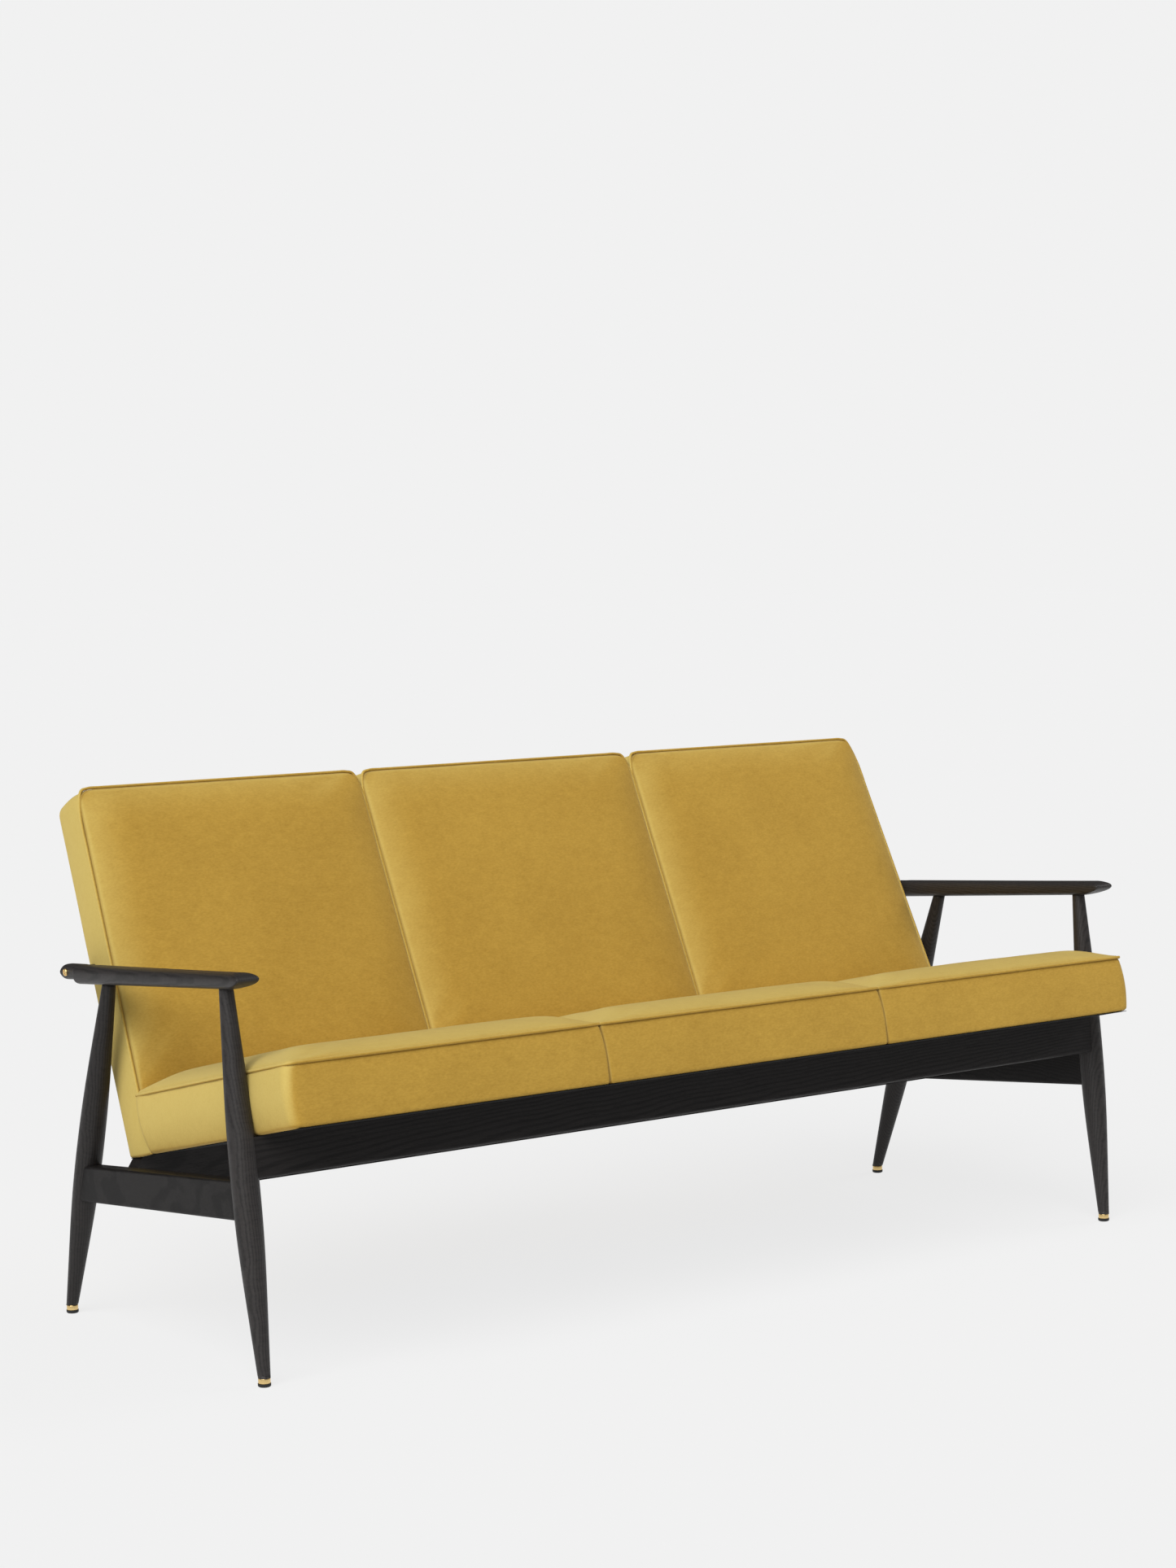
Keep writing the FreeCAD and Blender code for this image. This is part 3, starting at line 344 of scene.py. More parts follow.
class NodeTree:
    """A geometry node tree with named inputs; ends in Realize Instances and Set Material."""

    def __init__(self, name, **inputs):
        self.tree = bpy.data.node_groups.new(name, "GeometryNodeTree")
        self.tree.interface.new_socket("Geometry", in_out="INPUT", socket_type="NodeSocketGeometry")
        self.tree.interface.new_socket("Geometry", in_out="OUTPUT", socket_type="NodeSocketGeometry")
        self.keys = {}
        for label, default in inputs.items():
            kind = "NodeSocketVector" if isinstance(default, tuple) else "NodeSocketFloat"
            socket = self.tree.interface.new_socket(label, in_out="INPUT", socket_type=kind)
            socket.default_value = default
            self.keys[label] = socket.identifier
        self.inputs = self.tree.nodes.new("NodeGroupInput")

    def input(self, label):
        return self.inputs.outputs[label]

    def node(self, kind, settings=None, links=None):
        made = self.tree.nodes.new(kind)
        for name, setting in (settings or {}).items():
            setattr(made, name, setting)
        for socket, given in (links or {}).items():
            if isinstance(given, bpy.types.NodeSocket):
                self.tree.links.new(given, made.inputs[socket])
            else:
                made.inputs[socket].default_value = given
        return made

    def maths(self, operation, *values):
        return self.node("ShaderNodeMath", {"operation": operation}, dict(enumerate(values))).outputs[0]

    def finish(self, geometry, finish):
        realized = self.node("GeometryNodeRealizeInstances", links={"Geometry": geometry})
        coated = self.node("GeometryNodeSetMaterial", links={"Geometry": realized.outputs[0]})
        coated.inputs["Material"].default_value = finish
        output = self.node("NodeGroupOutput")
        self.tree.links.new(coated.outputs[0], output.inputs[0])

    def build(self, name, finish, start=None, **values):
        """The tree's result as a plain mesh piece."""
        mesh = start or bpy.data.meshes.new(name + "_start")
        carrier = bpy.data.objects.new(name + "_carrier", mesh)
        bpy.context.scene.collection.objects.link(carrier)
        modifier = carrier.modifiers.new("shape", "NODES")
        modifier.node_group = self.tree
        for label, number in values.items():
            modifier[self.keys[label]] = number
        graph = bpy.context.evaluated_depsgraph_get()
        graph.update()
        made = bpy.data.meshes.new_from_object(carrier.evaluated_get(graph))
        bpy.data.objects.remove(carrier)
        made.name = name
        return new_object(name, made, finish)


# ---- legs ----------------------------------------------------------------------------------------------

LEGS = {"front": 0.1188, "rear": -0.3269}
ARM_SLOPE = -0.0792


def leg_axis(sizes, row):
    """Foot point and slope (run back per unit of height) of a leg axis."""
    foot = sizes.foot_front if row == "front" else sizes.foot_rear
    return foot, LEGS[row]


def leg_top(sizes, row):
    """Height at which a leg axis meets the armrest underside."""
    foot, lean = leg_axis(sizes, row)
    arm_y = sizes.foot_front + (sizes.arm_height - sizes.ferrule_top) * LEGS["front"]
    return (sizes.arm_height + ARM_SLOPE * (foot - sizes.ferrule_top * lean - arm_y)) / (1 - ARM_SLOPE * lean)


def turned_leg_tree():
    """A lathe-turned leg: two straight tapers that run smoothly into a swell, cut level at the foot."""
    tree = NodeTree("turned_leg", Length=0.55, Foot=0.0091, Swell=0.0204, Top=0.0103, Blend=0.006,
                    Lower_taper=0.0568, Upper_taper=0.0505, Level=0.013,
                    Tilt=(0.0, 0.0, 0.0), Stand=(0.0, 0.0, 0.0))
    blank = tree.node("GeometryNodeMeshCylinder", {"fill_type": "TRIANGLE_FAN"},
                      {"Vertices": 56, "Side Segments": 90, "Fill Segments": 3, "Radius": 1.0,
                       "Depth": tree.maths("ADD", tree.input("Length"), 0.012)})
    position = tree.node("GeometryNodeInputPosition").outputs[0]
    parts = tree.node("ShaderNodeSeparateXYZ", links={0: position})
    half = tree.maths("MULTIPLY", tree.maths("ADD", tree.input("Length"), 0.012), 0.5)
    height = tree.maths("SUBTRACT", tree.maths("ADD", parts.outputs["Z"], half), 0.008)
    lower = tree.maths("MULTIPLY_ADD", height, tree.input("Lower_taper"), tree.input("Foot"))
    from_top = tree.maths("SUBTRACT", tree.input("Length"), height)
    upper = tree.maths("MULTIPLY_ADD", from_top, tree.input("Upper_taper"), tree.input("Top"))
    below_swell = tree.maths("SMOOTH_MIN", lower, tree.input("Swell"), tree.input("Blend"))
    radius = tree.maths("SMOOTH_MIN", below_swell, upper, tree.input("Blend"))
    turned = tree.node("ShaderNodeCombineXYZ", links={
        "X": tree.maths("MULTIPLY", parts.outputs["X"], radius),
        "Y": tree.maths("MULTIPLY", parts.outputs["Y"], radius),
        "Z": height,
    })
    shaped = tree.node("GeometryNodeSetPosition", links={
        "Geometry": blank.outputs[0], "Position": turned.outputs[0],
    })
    stood = tree.node("GeometryNodeTransform", links={
        "Geometry": shaped.outputs[0], "Rotation": tree.input("Tilt"), "Translation": tree.input("Stand"),
    })
    place = tree.node("GeometryNodeInputPosition").outputs[0]
    now = tree.node("ShaderNodeSeparateXYZ", links={0: place})
    level = tree.node("ShaderNodeCombineXYZ", links={
        "X": now.outputs["X"], "Y": now.outputs["Y"],
        "Z": tree.maths("MAXIMUM", now.outputs["Z"], tree.input("Level")),
    })
    levelled = tree.node("GeometryNodeSetPosition", links={
        "Geometry": stood.outputs[0], "Position": level.outputs[0],
    })
    tree.finish(levelled.outputs[0], material("ash_front_leg"))
    return tree


class SOFA_OT_legs(bpy.types.Operator):
    """Turn the four legs"""
    bl_idname = "sofa.legs"
    bl_label = "Legs"

    def execute(self, context):
        sizes = context.scene.sofa_frame
        tree = turned_leg_tree()
        for row in LEGS:
            foot, lean = leg_axis(sizes, row)
            span = (leg_top(sizes, row) - sizes.ferrule_top) * math.hypot(1, lean)
            for side_name, side in SIDES.items():
                leg = tree.build(
                    f"turned_leg_{row}_{side_name}", material(f"ash_{row}_leg"),
                    Length=span, Foot=sizes.foot_radius, Swell=sizes.swell_radius, Top=sizes.top_radius,
                    Level=sizes.ferrule_top, Tilt=(-math.atan(lean), 0.0, 0.0),
                    Stand=(side * sizes.leg_plane, foot, sizes.ferrule_top),
                )
                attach(leg, "root")
                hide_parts(f"leg_{row}_{side_name}")
        return {"FINISHED"}


# ---- ferrules ------------------------------------------------------------------------------------------

# radius and height, in millimetres
FERRULE_PROFILE = [(6.2, 5.0), (8.3, 5.0), (8.75, 5.35), (8.8, 6.0),
                   (8.8, 12.1), (8.6, 12.8), (8.1, 13.0), (6.2, 13.0)]


def lathe(profile, segments=64):
    """Closed ring from a profile of (radius, height) in millimetres, about the Z axis."""
    form = bmesh.new()
    rings = []
    for radius, height in profile:
        ring = []
        for step in range(segments):
            angle = 2 * math.pi * step / segments
            x, y = radius * MM * math.cos(angle), radius * MM * math.sin(angle)
            ring.append(form.verts.new((x, y, height * MM)))
        rings.append(ring)
    for ring, following in zip(rings, rings[1:] + rings[:1]):
        for step in range(segments):
            after = (step + 1) % segments
            form.faces.new((ring[step], ring[after], following[after], following[step]))
    bmesh.ops.recalc_face_normals(form, faces=form.faces)
    mesh = bpy.data.meshes.new("ring")
    form.to_mesh(mesh)
    form.free()
    return mesh


def at_feet_tree(pattern):
    """Copies of one pattern at the four feet."""
    tree = NodeTree("at_the_feet", Half_width=0.838, Front=-0.2936, Rear=0.2896)
    span = tree.maths("MULTIPLY", tree.input("Half_width"), 2.0)
    depth = tree.maths("SUBTRACT", tree.input("Rear"), tree.input("Front"))
    grid = tree.node("GeometryNodeMeshGrid", links={
        "Size X": span, "Size Y": depth, "Vertices X": 2, "Vertices Y": 2,
    })
    middle = tree.maths("MULTIPLY", tree.maths("ADD", tree.input("Rear"), tree.input("Front")), 0.5)
    offset = tree.node("ShaderNodeCombineXYZ", links={"Y": middle})
    feet = tree.node("GeometryNodeTransform", links={
        "Geometry": grid.outputs[0], "Translation": offset.outputs[0],
    })
    info = tree.node("GeometryNodeObjectInfo", links={"Object": pattern})
    placed = tree.node("GeometryNodeInstanceOnPoints", links={
        "Points": feet.outputs[0], "Instance": info.outputs["Geometry"],
    })
    tree.finish(placed.outputs[0], material("brass"))
    return tree


class SOFA_OT_ferrules(bpy.types.Operator):
    """Fit the brass ferrules on the four feet"""
    bl_idname = "sofa.ferrules"
    bl_label = "Ferrules"

    def execute(self, context):
        sizes = context.scene.sofa_frame
        pattern = bpy.data.objects.new("ferrule_pattern", lathe(FERRULE_PROFILE))
        context.scene.collection.objects.link(pattern)
        tree = at_feet_tree(pattern)
        ferrules = tree.build("brass_ferrules", material("brass"), Half_width=sizes.leg_plane,
                              Front=sizes.foot_front, Rear=sizes.foot_rear)
        bpy.data.objects.remove(pattern)
        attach(ferrules, "root")
        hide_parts(*[f"ferrule_{row}_{side}" for row in LEGS for side in SIDES])
        return {"FINISHED"}


# ---- armrests ------------------------------------------------------------------------------------------

ARM_REACH = 22
ARM_UNDERCUT = 41
ARM_FRONT_DEPTH = 23
ARM_REAR_DEPTH = 30
ARM_TIP_ROUND = 8
ARM_BAR = 432
ARM_TIP = 485
ARM_HALF_WIDTH = 19
ARM_STEP_OUT = 8
ARM_STEP_UP = 6
ARM_FADE = 110  # length over which the undercut of the front end dies out
ARM_ROUNDNESS = 2.7  # power of the section: 2 is an ellipse, more is squarer


def arm_height_at(y):
    """Depth of the bar, in millimetres, from its front to its rear."""
    front = ARM_REACH + ARM_UNDERCUT
    return ARM_FRONT_DEPTH + (ARM_REAR_DEPTH - ARM_FRONT_DEPTH) * (y + front) / (ARM_TIP + front)


def smooth(value, low, high):
    """0 below low, 1 above high, an even rise between."""
    share = min(max((value - low) / (high - low), 0), 1)
    return share * share * (3 - 2 * share)


def arm_section(y, outward):
    """Left, right, bottom and top of the bar at a station; the step is on the outer side."""
    step = smooth(y, ARM_BAR - 5, ARM_BAR + 3) * ARM_STEP_OUT
    low, high = smooth(y, ARM_BAR - 2, ARM_BAR + 10) * ARM_STEP_UP, arm_height_at(y)
    tip = max(0, (y - (ARM_TIP - ARM_TIP_ROUND)) / ARM_TIP_ROUND)
    shrink = (1 - math.sqrt(max(0, 1 - tip * tip))) * ARM_TIP_ROUND
    wide = ARM_HALF_WIDTH
    left, right = (-wide + step, wide) if outward < 0 else (-wide, wide - step)
    return left, right, low + shrink, high - shrink


def nose(level):
    """How far the front end reaches forward at a level, 0 at the underside to 1 at the top of the bar."""
    if level < 0.6:
        return 1 - ((0.6 - level) / 0.6) ** 2
    return 1 - 0.45 * ((level - 0.6) / 0.4) ** 2


def arm_mesh(side):
    """Bar with soft, nearly oval sections, an undercut front end and a stepped tongue."""
    around = 48
    # stations along the bar in millimetres, close together at the step and at the tip
    stations = [-ARM_REACH + 2 + 6 * k for k in range(74)]
    stations += [ARM_BAR - 6 + 1.0 * k for k in range(18)]
    stations += [ARM_BAR + 12 + 4 * k for k in range(8)]
    stations += [ARM_TIP - ARM_TIP_ROUND + ARM_TIP_ROUND * math.sin(math.pi / 2 * k / 8) for k in range(9)]
    form = bmesh.new()
    rings = []

    def ring(y, inset=0.0, undercut=0.0, share=1.0):
        left, right, low, high = arm_section(y, side)
        centre_x, centre_z = (left + right) / 2, (low + high) / 2
        half_x, half_z = share * ((right - left) / 2 - inset), share * ((high - low) / 2 - inset)
        made = []
        for step in range(around):
            angle = 2 * math.pi * step / around
            c, s = math.cos(angle), math.sin(angle)
            x = centre_x + half_x * math.copysign(abs(c) ** (2 / ARM_ROUNDNESS), c)
            z = centre_z + half_z * math.copysign(abs(s) ** (2 / ARM_ROUNDNESS), s)
            forward = undercut * nose(min(max(z / ARM_FRONT_DEPTH, 0), 1))
            made.append(form.verts.new((x * MM, (y - forward) * MM, z * MM)))
        return made

    for share in (0.04, 0.2, 0.4, 0.6, 0.8):
        rings.append(ring(-ARM_REACH, inset=3.0, undercut=ARM_UNDERCUT, share=share))
    for setback, inset in ((0.0, 3.0), (0.3, 1.6), (1.1, 0.5)):
        rings.append(ring(-ARM_REACH + setback, inset=inset, undercut=ARM_UNDERCUT))
    for y in sorted(set(stations)):
        rings.append(ring(y, undercut=ARM_UNDERCUT * max(0, 1 - (y + ARM_REACH) / ARM_FADE)))
    for current, following in zip(rings, rings[1:]):
        for step in range(around):
            after = (step + 1) % around
            form.faces.new((current[step], current[after], following[after], following[step]))
    form.faces.new(rings[0])
    form.faces.new(list(reversed(rings[-1])))
    bmesh.ops.remove_doubles(form, verts=form.verts, dist=1e-5)
    bmesh.ops.recalc_face_normals(form, faces=form.faces)
    mesh = bpy.data.meshes.new("armrest")
    form.to_mesh(mesh)
    form.free()
    return mesh


class SOFA_OT_armrests(bpy.types.Operator):
    """Shape the two armrests"""
    bl_idname = "sofa.armrests"
    bl_label = "Armrests"

    def execute(self, context):
        sizes = context.scene.sofa_frame
        arm_y = sizes.foot_front + (sizes.arm_height - sizes.ferrule_top) * LEGS["front"]
        for side_name, side in SIDES.items():
            mesh = arm_mesh(side)
            spot = Matrix.Translation((side * sizes.leg_plane, arm_y, sizes.arm_height))
            mesh.transform(spot @ Matrix.Rotation(math.atan(ARM_SLOPE), 4, "X"))
            arm = new_object(f"shaped_armrest_{side_name}", mesh, material("ash_arm"))
            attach(arm, "root")
            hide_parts(f"armrest_{side_name}")
        return {"FINISHED"}


# ---- cushions ------------------------------------------------------------------------------------------

def grid_lines(span, cell, fine=0.020):
    """Lines across a panel: close together along both edges, even between them."""
    edge = [0, 0.0014, 0.003, 0.005, 0.0075, 0.011, 0.0155, fine]
    inner = max(2, round((span - 2 * fine) / cell))
    middle = [fine + (span - 2 * fine) * step / inner for step in range(1, inner)]
    return np.array(edge + middle + [span - place for place in reversed(edge)])


def rise(distance, reach, power=2.3):
    """Share of the crown at a distance from an edge."""
    return 1 - (1 - np.clip(distance / reach, 0, 1)) ** power


HELD_ROUND = 0.002  # rounding of rear edges that touch a neighbour, small enough to hide the frame inside
SIDE_FULLNESS = 0.0012  # how far a wall swells out at half its height
PIPING_DRAW = 0.0018  # how far a wall is drawn in under the piping
PIPING_OUT = 0.0006  # how far the piping stands off the edge
PIPING_TURN_IN = 0.020  # how far the piping runs into a seam between two seat sections
CROWN_REACH = 0.075  # distance from an edge over which a panel rises


class Cushion:
    """A boxed section in its own axes: u across, v along, w from the rear face to the panel.

    corners are the radii at (u low, v low), (u high, v low), (u high, v high), (u low, v high) beside
    the panel, rear_corners those at the rear.
    held_walls are the walls that lean on a neighbour: "u0", "u1", "v0", "v1".
    """

    def __init__(self, name, spans, corners, rear_corners, border, crown, reach, round_rear, held_walls,
                 groove, bulge=0.0, drop_v1=1.0, flat_v1=0.0):
        self.name = name
        self.width, self.depth = spans
        self.corners = corners
        self.rear_corners = rear_corners
        self.border = border
        self.crown = crown
        self.reach = reach
        self.round_rear = round_rear
        self.held_walls = held_walls
        self.groove = groove
        self.bulge = bulge
        self.drop_v1 = drop_v1
        self.flat_v1 = flat_v1

    def plan(self, u, v, w):
        """Rounded plan position of a point; the corners go from their rear radii to those at the panel."""
        half_u, half_v = self.width / 2, self.depth / 2
        du, dv = u - half_u, v - half_v
        corner = {(-1, -1): 0, (1, -1): 1, (1, 1): 2, (-1, 1): 3}[(1 if du > 0 else -1, 1 if dv > 0 else -1)]
        opened = float(smooth(w, 0.6 * self.border, self.border))
        radius = self.rear_corners[corner] + (self.corners[corner] - self.rear_corners[corner]) * opened
        over_u, over_v = abs(du) - (half_u - radius), abs(dv) - (half_v - radius)
        if over_u > 0 and over_v > 0:
            reach = max(over_u, over_v)
            flat = math.hypot(over_u, over_v)
            du = math.copysign(half_u - radius + over_u / flat * reach, du)
            dv = math.copysign(half_v - radius + over_v / flat * reach, dv)
        return half_u + du, half_v + dv

    def point(self, u, v, w):
        """Rest position of a lattice point, in the section's own axes."""
        u, v = self.plan(u, v, w)
        half_u, half_v = self.width / 2, self.depth / 2
        beside_u = "u0" if u < half_u else "u1"
        beside_v = "v0" if v < half_v else "v1"
        u = half_u + (u - half_u) * (half_u - self.inset(beside_u, w)) / half_u
        v = half_v + (v - half_v) * (half_v - self.inset(beside_v, w)) / half_v
        if w >= self.border - 1e-9:
            along_u = rise(min(u, self.width - u), self.reach)
            near = rise(v, self.reach)
            far = 1 - self.drop_v1 * (1 - rise(self.depth - self.flat_v1 - v, self.reach))
            lip = rise(min(u, self.width - u, v, self.depth - v), 0.0075, 2)
            w = self.border - 0.001 + 0.0045 * float(lip) + self.crown * float(along_u * near * far)
        return u, v, w

    def inset(self, wall, w):
        """How far a wall stands back: rounded at the rear, full halfway, drawn in under the piping."""
        held = wall in self.held_walls
        radius = min(self.round_rear, HELD_ROUND) if held else self.round_rear
        back = 0.0
        if w < radius:
            back = radius - math.sqrt(radius ** 2 - (radius - w) ** 2)
        full = math.sin(math.pi * min(w / self.border, 1))
        back -= SIDE_FULLNESS * full
        if not held and wall[0] == "u":
            back -= self.bulge * full ** 0.7
        return back + PIPING_DRAW * (1 - rise(self.border - w, 0.006))

    def painted_groove_shade_share(self, i, j, k, last, lines_u, lines_v, lines_w):
        """Share of painted shade: 1 in the groove beside the piping and at a rear seam, fading within a few
        millimetres.
        """
        if k == last[2]:
            away = min(lines_u[i], self.width - lines_u[i], lines_v[j], self.depth - lines_v[j])
            return math.exp(-(away / 0.0017) ** 2) if self.groove == "panel" else 0.0
        if self.groove == "panel":
            return 0.0
        seam = self.border - lines_w[k]
        if "u0" in self.held_walls:
            seam = min(seam, lines_u[i])
        if "u1" in self.held_walls:
            seam = min(seam, self.width - lines_u[i])
        return max(math.exp(-(seam / 0.0022) ** 2), math.exp(-((self.depth - lines_v[j]) / 0.006) ** 2))

    def build(self, cell, place):
        """Closed quad mesh, and the share (0 to 1) by which every point is held by a seam."""
        lines_u = grid_lines(self.width, cell)
        lines_v = grid_lines(self.depth, cell)
        rear = [0, 0.1, 0.2, 0.45, 0.75, 1.0]
        front = [self.border - back for back in (0.012, 0.007, 0.004, 0.0018, 0)]
        low, high = self.round_rear, front[0]
        steps = max(2, round((high - low) / cell))
        lines_w = [self.round_rear * part for part in rear]
        lines_w += [low + (high - low) * step / steps for step in range(1, steps)] + front
        last = (len(lines_u) - 1, len(lines_v) - 1, len(lines_w) - 1)
        form = bmesh.new()
        # share of painted shade beside the piping and at the seams
        crease = form.verts.layers.float.new("crease")
        found = {}
        held = []

        def vertex(i, j, k):
            key = (i, j, k)
            if key not in found:
                u, v, w = self.point(lines_u[i], lines_v[j], lines_w[k])
                found[key] = form.verts.new(place(u, v, w))
                found[key][crease] = self.painted_groove_shade_share(i, j, k, last, lines_u, lines_v, lines_w)
                held.append(self.hold(i, j, k, last))
            return found[key]

        def sheet(fixed, level, first, second, flip):
            for a in range(last[first]):
                for b in range(last[second]):
                    quad = []
                    for step_a, step_b in ((0, 0), (1, 0), (1, 1), (0, 1)):
                        key = [0, 0, 0]
                        key[fixed], key[first], key[second] = level, a + step_a, b + step_b
                        quad.append(vertex(*key))
                    form.faces.new(reversed(quad) if flip else quad)

        sheet(2, last[2], 0, 1, False)
        sheet(2, 0, 0, 1, True)
        sheet(0, 0, 1, 2, True)
        sheet(0, last[0], 1, 2, False)
        sheet(1, 0, 0, 2, False)
        sheet(1, last[1], 0, 2, True)
        bmesh.ops.recalc_face_normals(form, faces=form.faces)
        mesh = bpy.data.meshes.new(self.name)
        form.to_mesh(mesh)
        form.free()
        return mesh, np.array(held)

    def hold(self, i, j, k, last):
        """1 where a seam, the rear face or a neighbour holds the cloth."""
        if k <= 3:
            return 1.0
        walls = {"u0": i == 0, "u1": i == last[0], "v0": j == 0, "v1": j == last[1]}
        on_wall = any(walls.values())
        if k == last[2] and on_wall:
            return 1.0
        if any(walls[name] for name in self.held_walls):
            return 1.0
        return 0.0

    def edge_path(self, start):
        """Points along the front edge of the panel: up one side, across, down the other.

        start is how far along each v side the path begins; sides run from there to v low.
        """
        first, second = start
        points = [(0.0, first - first * step / 12) for step in range(12)]
        points += [(self.width * step / 24, 0.0) for step in range(25)]
        points += [(self.width, second * step / 12) for step in range(1, 13)]
        return points


def inflate(obj, held, most):
    """Let the filling push the cloth out between its seams, by most metres at the fullest point."""
    mesh = obj.data
    rest = np.empty(len(mesh.vertices) * 3)
    mesh.vertices.foreach_get("co", rest)
    rest = rest.reshape(-1, 3)
    group = obj.vertex_groups.new(name="seams")
    for index in np.nonzero(held > 0)[0]:
        group.add([int(index)], float(held[index]), "REPLACE")
    cloth = obj.modifiers.new("cloth", "CLOTH")
    settings = cloth.settings
    settings.quality = 4
    settings.mass = 0.3
    settings.tension_stiffness = 25
    settings.compression_stiffness = 25
    settings.shear_stiffness = 10
    settings.bending_stiffness = 2
    settings.vertex_group_mass = "seams"
    settings.pin_stiffness = 1
    settings.use_pressure = True
    settings.uniform_pressure_force = 4
    settings.effector_weights.gravity = 0
    cloth.collision_settings.use_collision = False
    cloth.point_cache.frame_start = 1
    cloth.point_cache.frame_end = 20
    scene = bpy.context.scene
    for moment in range(1, 15):
        scene.frame_set(moment)
    swollen = obj.evaluated_get(bpy.context.evaluated_depsgraph_get()).to_mesh()
    moved = np.empty(len(swollen.vertices) * 3)
    swollen.vertices.foreach_get("co", moved)
    obj.evaluated_get(bpy.context.evaluated_depsgraph_get()).to_mesh_clear()
    shift = moved.reshape(-1, 3) - rest
    fullest = np.linalg.norm(shift, axis=1).max()
    shift *= most / max(fullest, 1e-6)
    obj.modifiers.remove(cloth)
    obj.vertex_groups.remove(group)
    scene.frame_set(1)
    mesh.vertices.foreach_set("co", (rest + shift).ravel())
    mesh.update()
    return fullest


def unevenness(obj, held, amount, seed):
    """Slow waves of the filling under the cloth."""
    mesh = obj.data
    mesh.update()
    offset = Vector((seed * 3.1, seed * 1.7, seed * 0.9))
    for vertex, fixed in zip(mesh.vertices, held):
        if fixed >= 1:
            continue
        slow = noise.noise(vertex.co * 7 + offset)
        quick = noise.noise(vertex.co * 26 + offset)
        vertex.co += vertex.normal * amount * (slow + 0.3 * quick)
    mesh.update()


# direction of the key light; faces turned this way get painted light
PAINTED_LIGHT_DIRECTION = np.array((-0.76, 0.0, 0.65))
PAINTED_LIGHT_START, PAINTED_LIGHT_SPAN = 0.30, 0.52  # where the painted light begins to show, and how far on it is full


def paint_lit_side(mesh):
    """Store how far each point faces the key light, up and to the left, as the share of painted light on its
    colour.
    """
    mesh.update()
    normals = np.empty(len(mesh.vertices) * 3, dtype=np.float32)
    mesh.vertices.foreach_get("normal", normals)
    lean = np.clip((normals.reshape(-1, 3) @ PAINTED_LIGHT_DIRECTION - PAINTED_LIGHT_START) / PAINTED_LIGHT_SPAN, 0, 1)
    layer = mesh.attributes.new("brushed", "FLOAT", "POINT")
    layer.data.foreach_set("value", (lean * lean * (3 - 2 * lean)).astype(np.float32))


def finish_cushion(cushion, place, sizes, seed, nodes):
    """Build, swell and attach one padded section, and hide the parts it replaces."""
    mesh, held = cushion.build(sizes.cell, place)
    piece = new_object(cushion.name, mesh, material("mustard_velvet"))
    inflate(piece, held, sizes.swell)
    unevenness(piece, held, 0.0011, seed)
    # painted light on the faces that turn towards the key light
    paint_lit_side(piece.data)
    smoother = piece.modifiers.new("fine", "SUBSURF")
    smoother.levels = 1
    smoother.render_levels = 1
    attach(piece, "root")
    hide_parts(*nodes)
    return piece


def piping_tree():
    """A cord that follows a path."""
    tree = NodeTree("piping", Radius=0.0024)
    path = tree.node("GeometryNodeMeshToCurve", links={"Mesh": tree.input("Geometry")})
    spline = tree.node("GeometryNodeCurveSplineType", {"spline_type": "CATMULL_ROM"},
                       {"Curve": path.outputs[0]})
    even = tree.node("GeometryNodeResampleCurve", {"mode": "LENGTH"},
                     {"Curve": spline.outputs[0], "Length": 0.003})
    section = tree.node("GeometryNodeCurvePrimitiveCircle", links={
        "Resolution": 10, "Radius": tree.input("Radius"),
    })
    tube = tree.node("GeometryNodeCurveToMesh", links={
        "Curve": even.outputs[0], "Profile Curve": section.outputs[0], "Fill Caps": True,
    })
    smooth_tube = tree.node("GeometryNodeSetShadeSmooth", links={"Geometry": tube.outputs[0]})
    tree.finish(smooth_tube.outputs[0], material("mustard_velvet"))
    return tree


def path_mesh(points):
    """A line of edges through the points."""
    mesh = bpy.data.meshes.new("path")
    mesh.from_pydata(points, [(k, k + 1) for k in range(len(points) - 1)], [])
    return mesh


def add_piping(tree, name, points, sizes):
    cord = tree.build(name, material("mustard_velvet"), start=path_mesh(points), Radius=sizes.cord)
    # painted light on the side of the cord that faces the key light
    paint_lit_side(cord.data)
    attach(cord, "root")
    return cord


SECTION_HALF = 0.2745
SECTION_GAP = 0.0003
SEAT_FRONT = -0.3715
SEAT_BOTTOM = 0.3765
SEAT_HALF = 0.818
SEAT_DEPTH = 0.436
SEAT_SLOPE = -0.2263
REAR_FLARE = 0.2222
BACK_FOOT = 0.0542
BACK_SLOPE = 0.4722
BACK_HALF = 0.8145
BACK_TAPER = 0.0499
BACK_HEIGHT = 0.587
BACK_THICK = 0.076
REST_GAP = 0.0012  # room under the seat and at the foot of the backrest


def seam_pull(x, v, w):
    """How far the cloth is drawn to the left where a front seam runs up into the piping."""
    beside = math.exp(-((abs(x) - SECTION_HALF) / 0.03) ** 2)
    climb = min(max((w - 0.04) / 0.05, 0), 1)
    return 0.0055 * beside * climb * climb * math.exp(-(v / 0.04) ** 2)


def seat_place(low):
    """From a seat section's axes (across, front to rear, up) to the sofa's."""
    along, up = rotation_x(math.atan(SEAT_SLOPE))
    origin = Vector((low, SEAT_FRONT, SEAT_BOTTOM + REST_GAP))

    def place(u, v, w):
        v = v * (1 + REAR_FLARE * min(w, 0.09) / SEAT_DEPTH)
        return origin + Vector((u - seam_pull(low + u, v, w), 0, 0)) + along * v + up * w

    return place


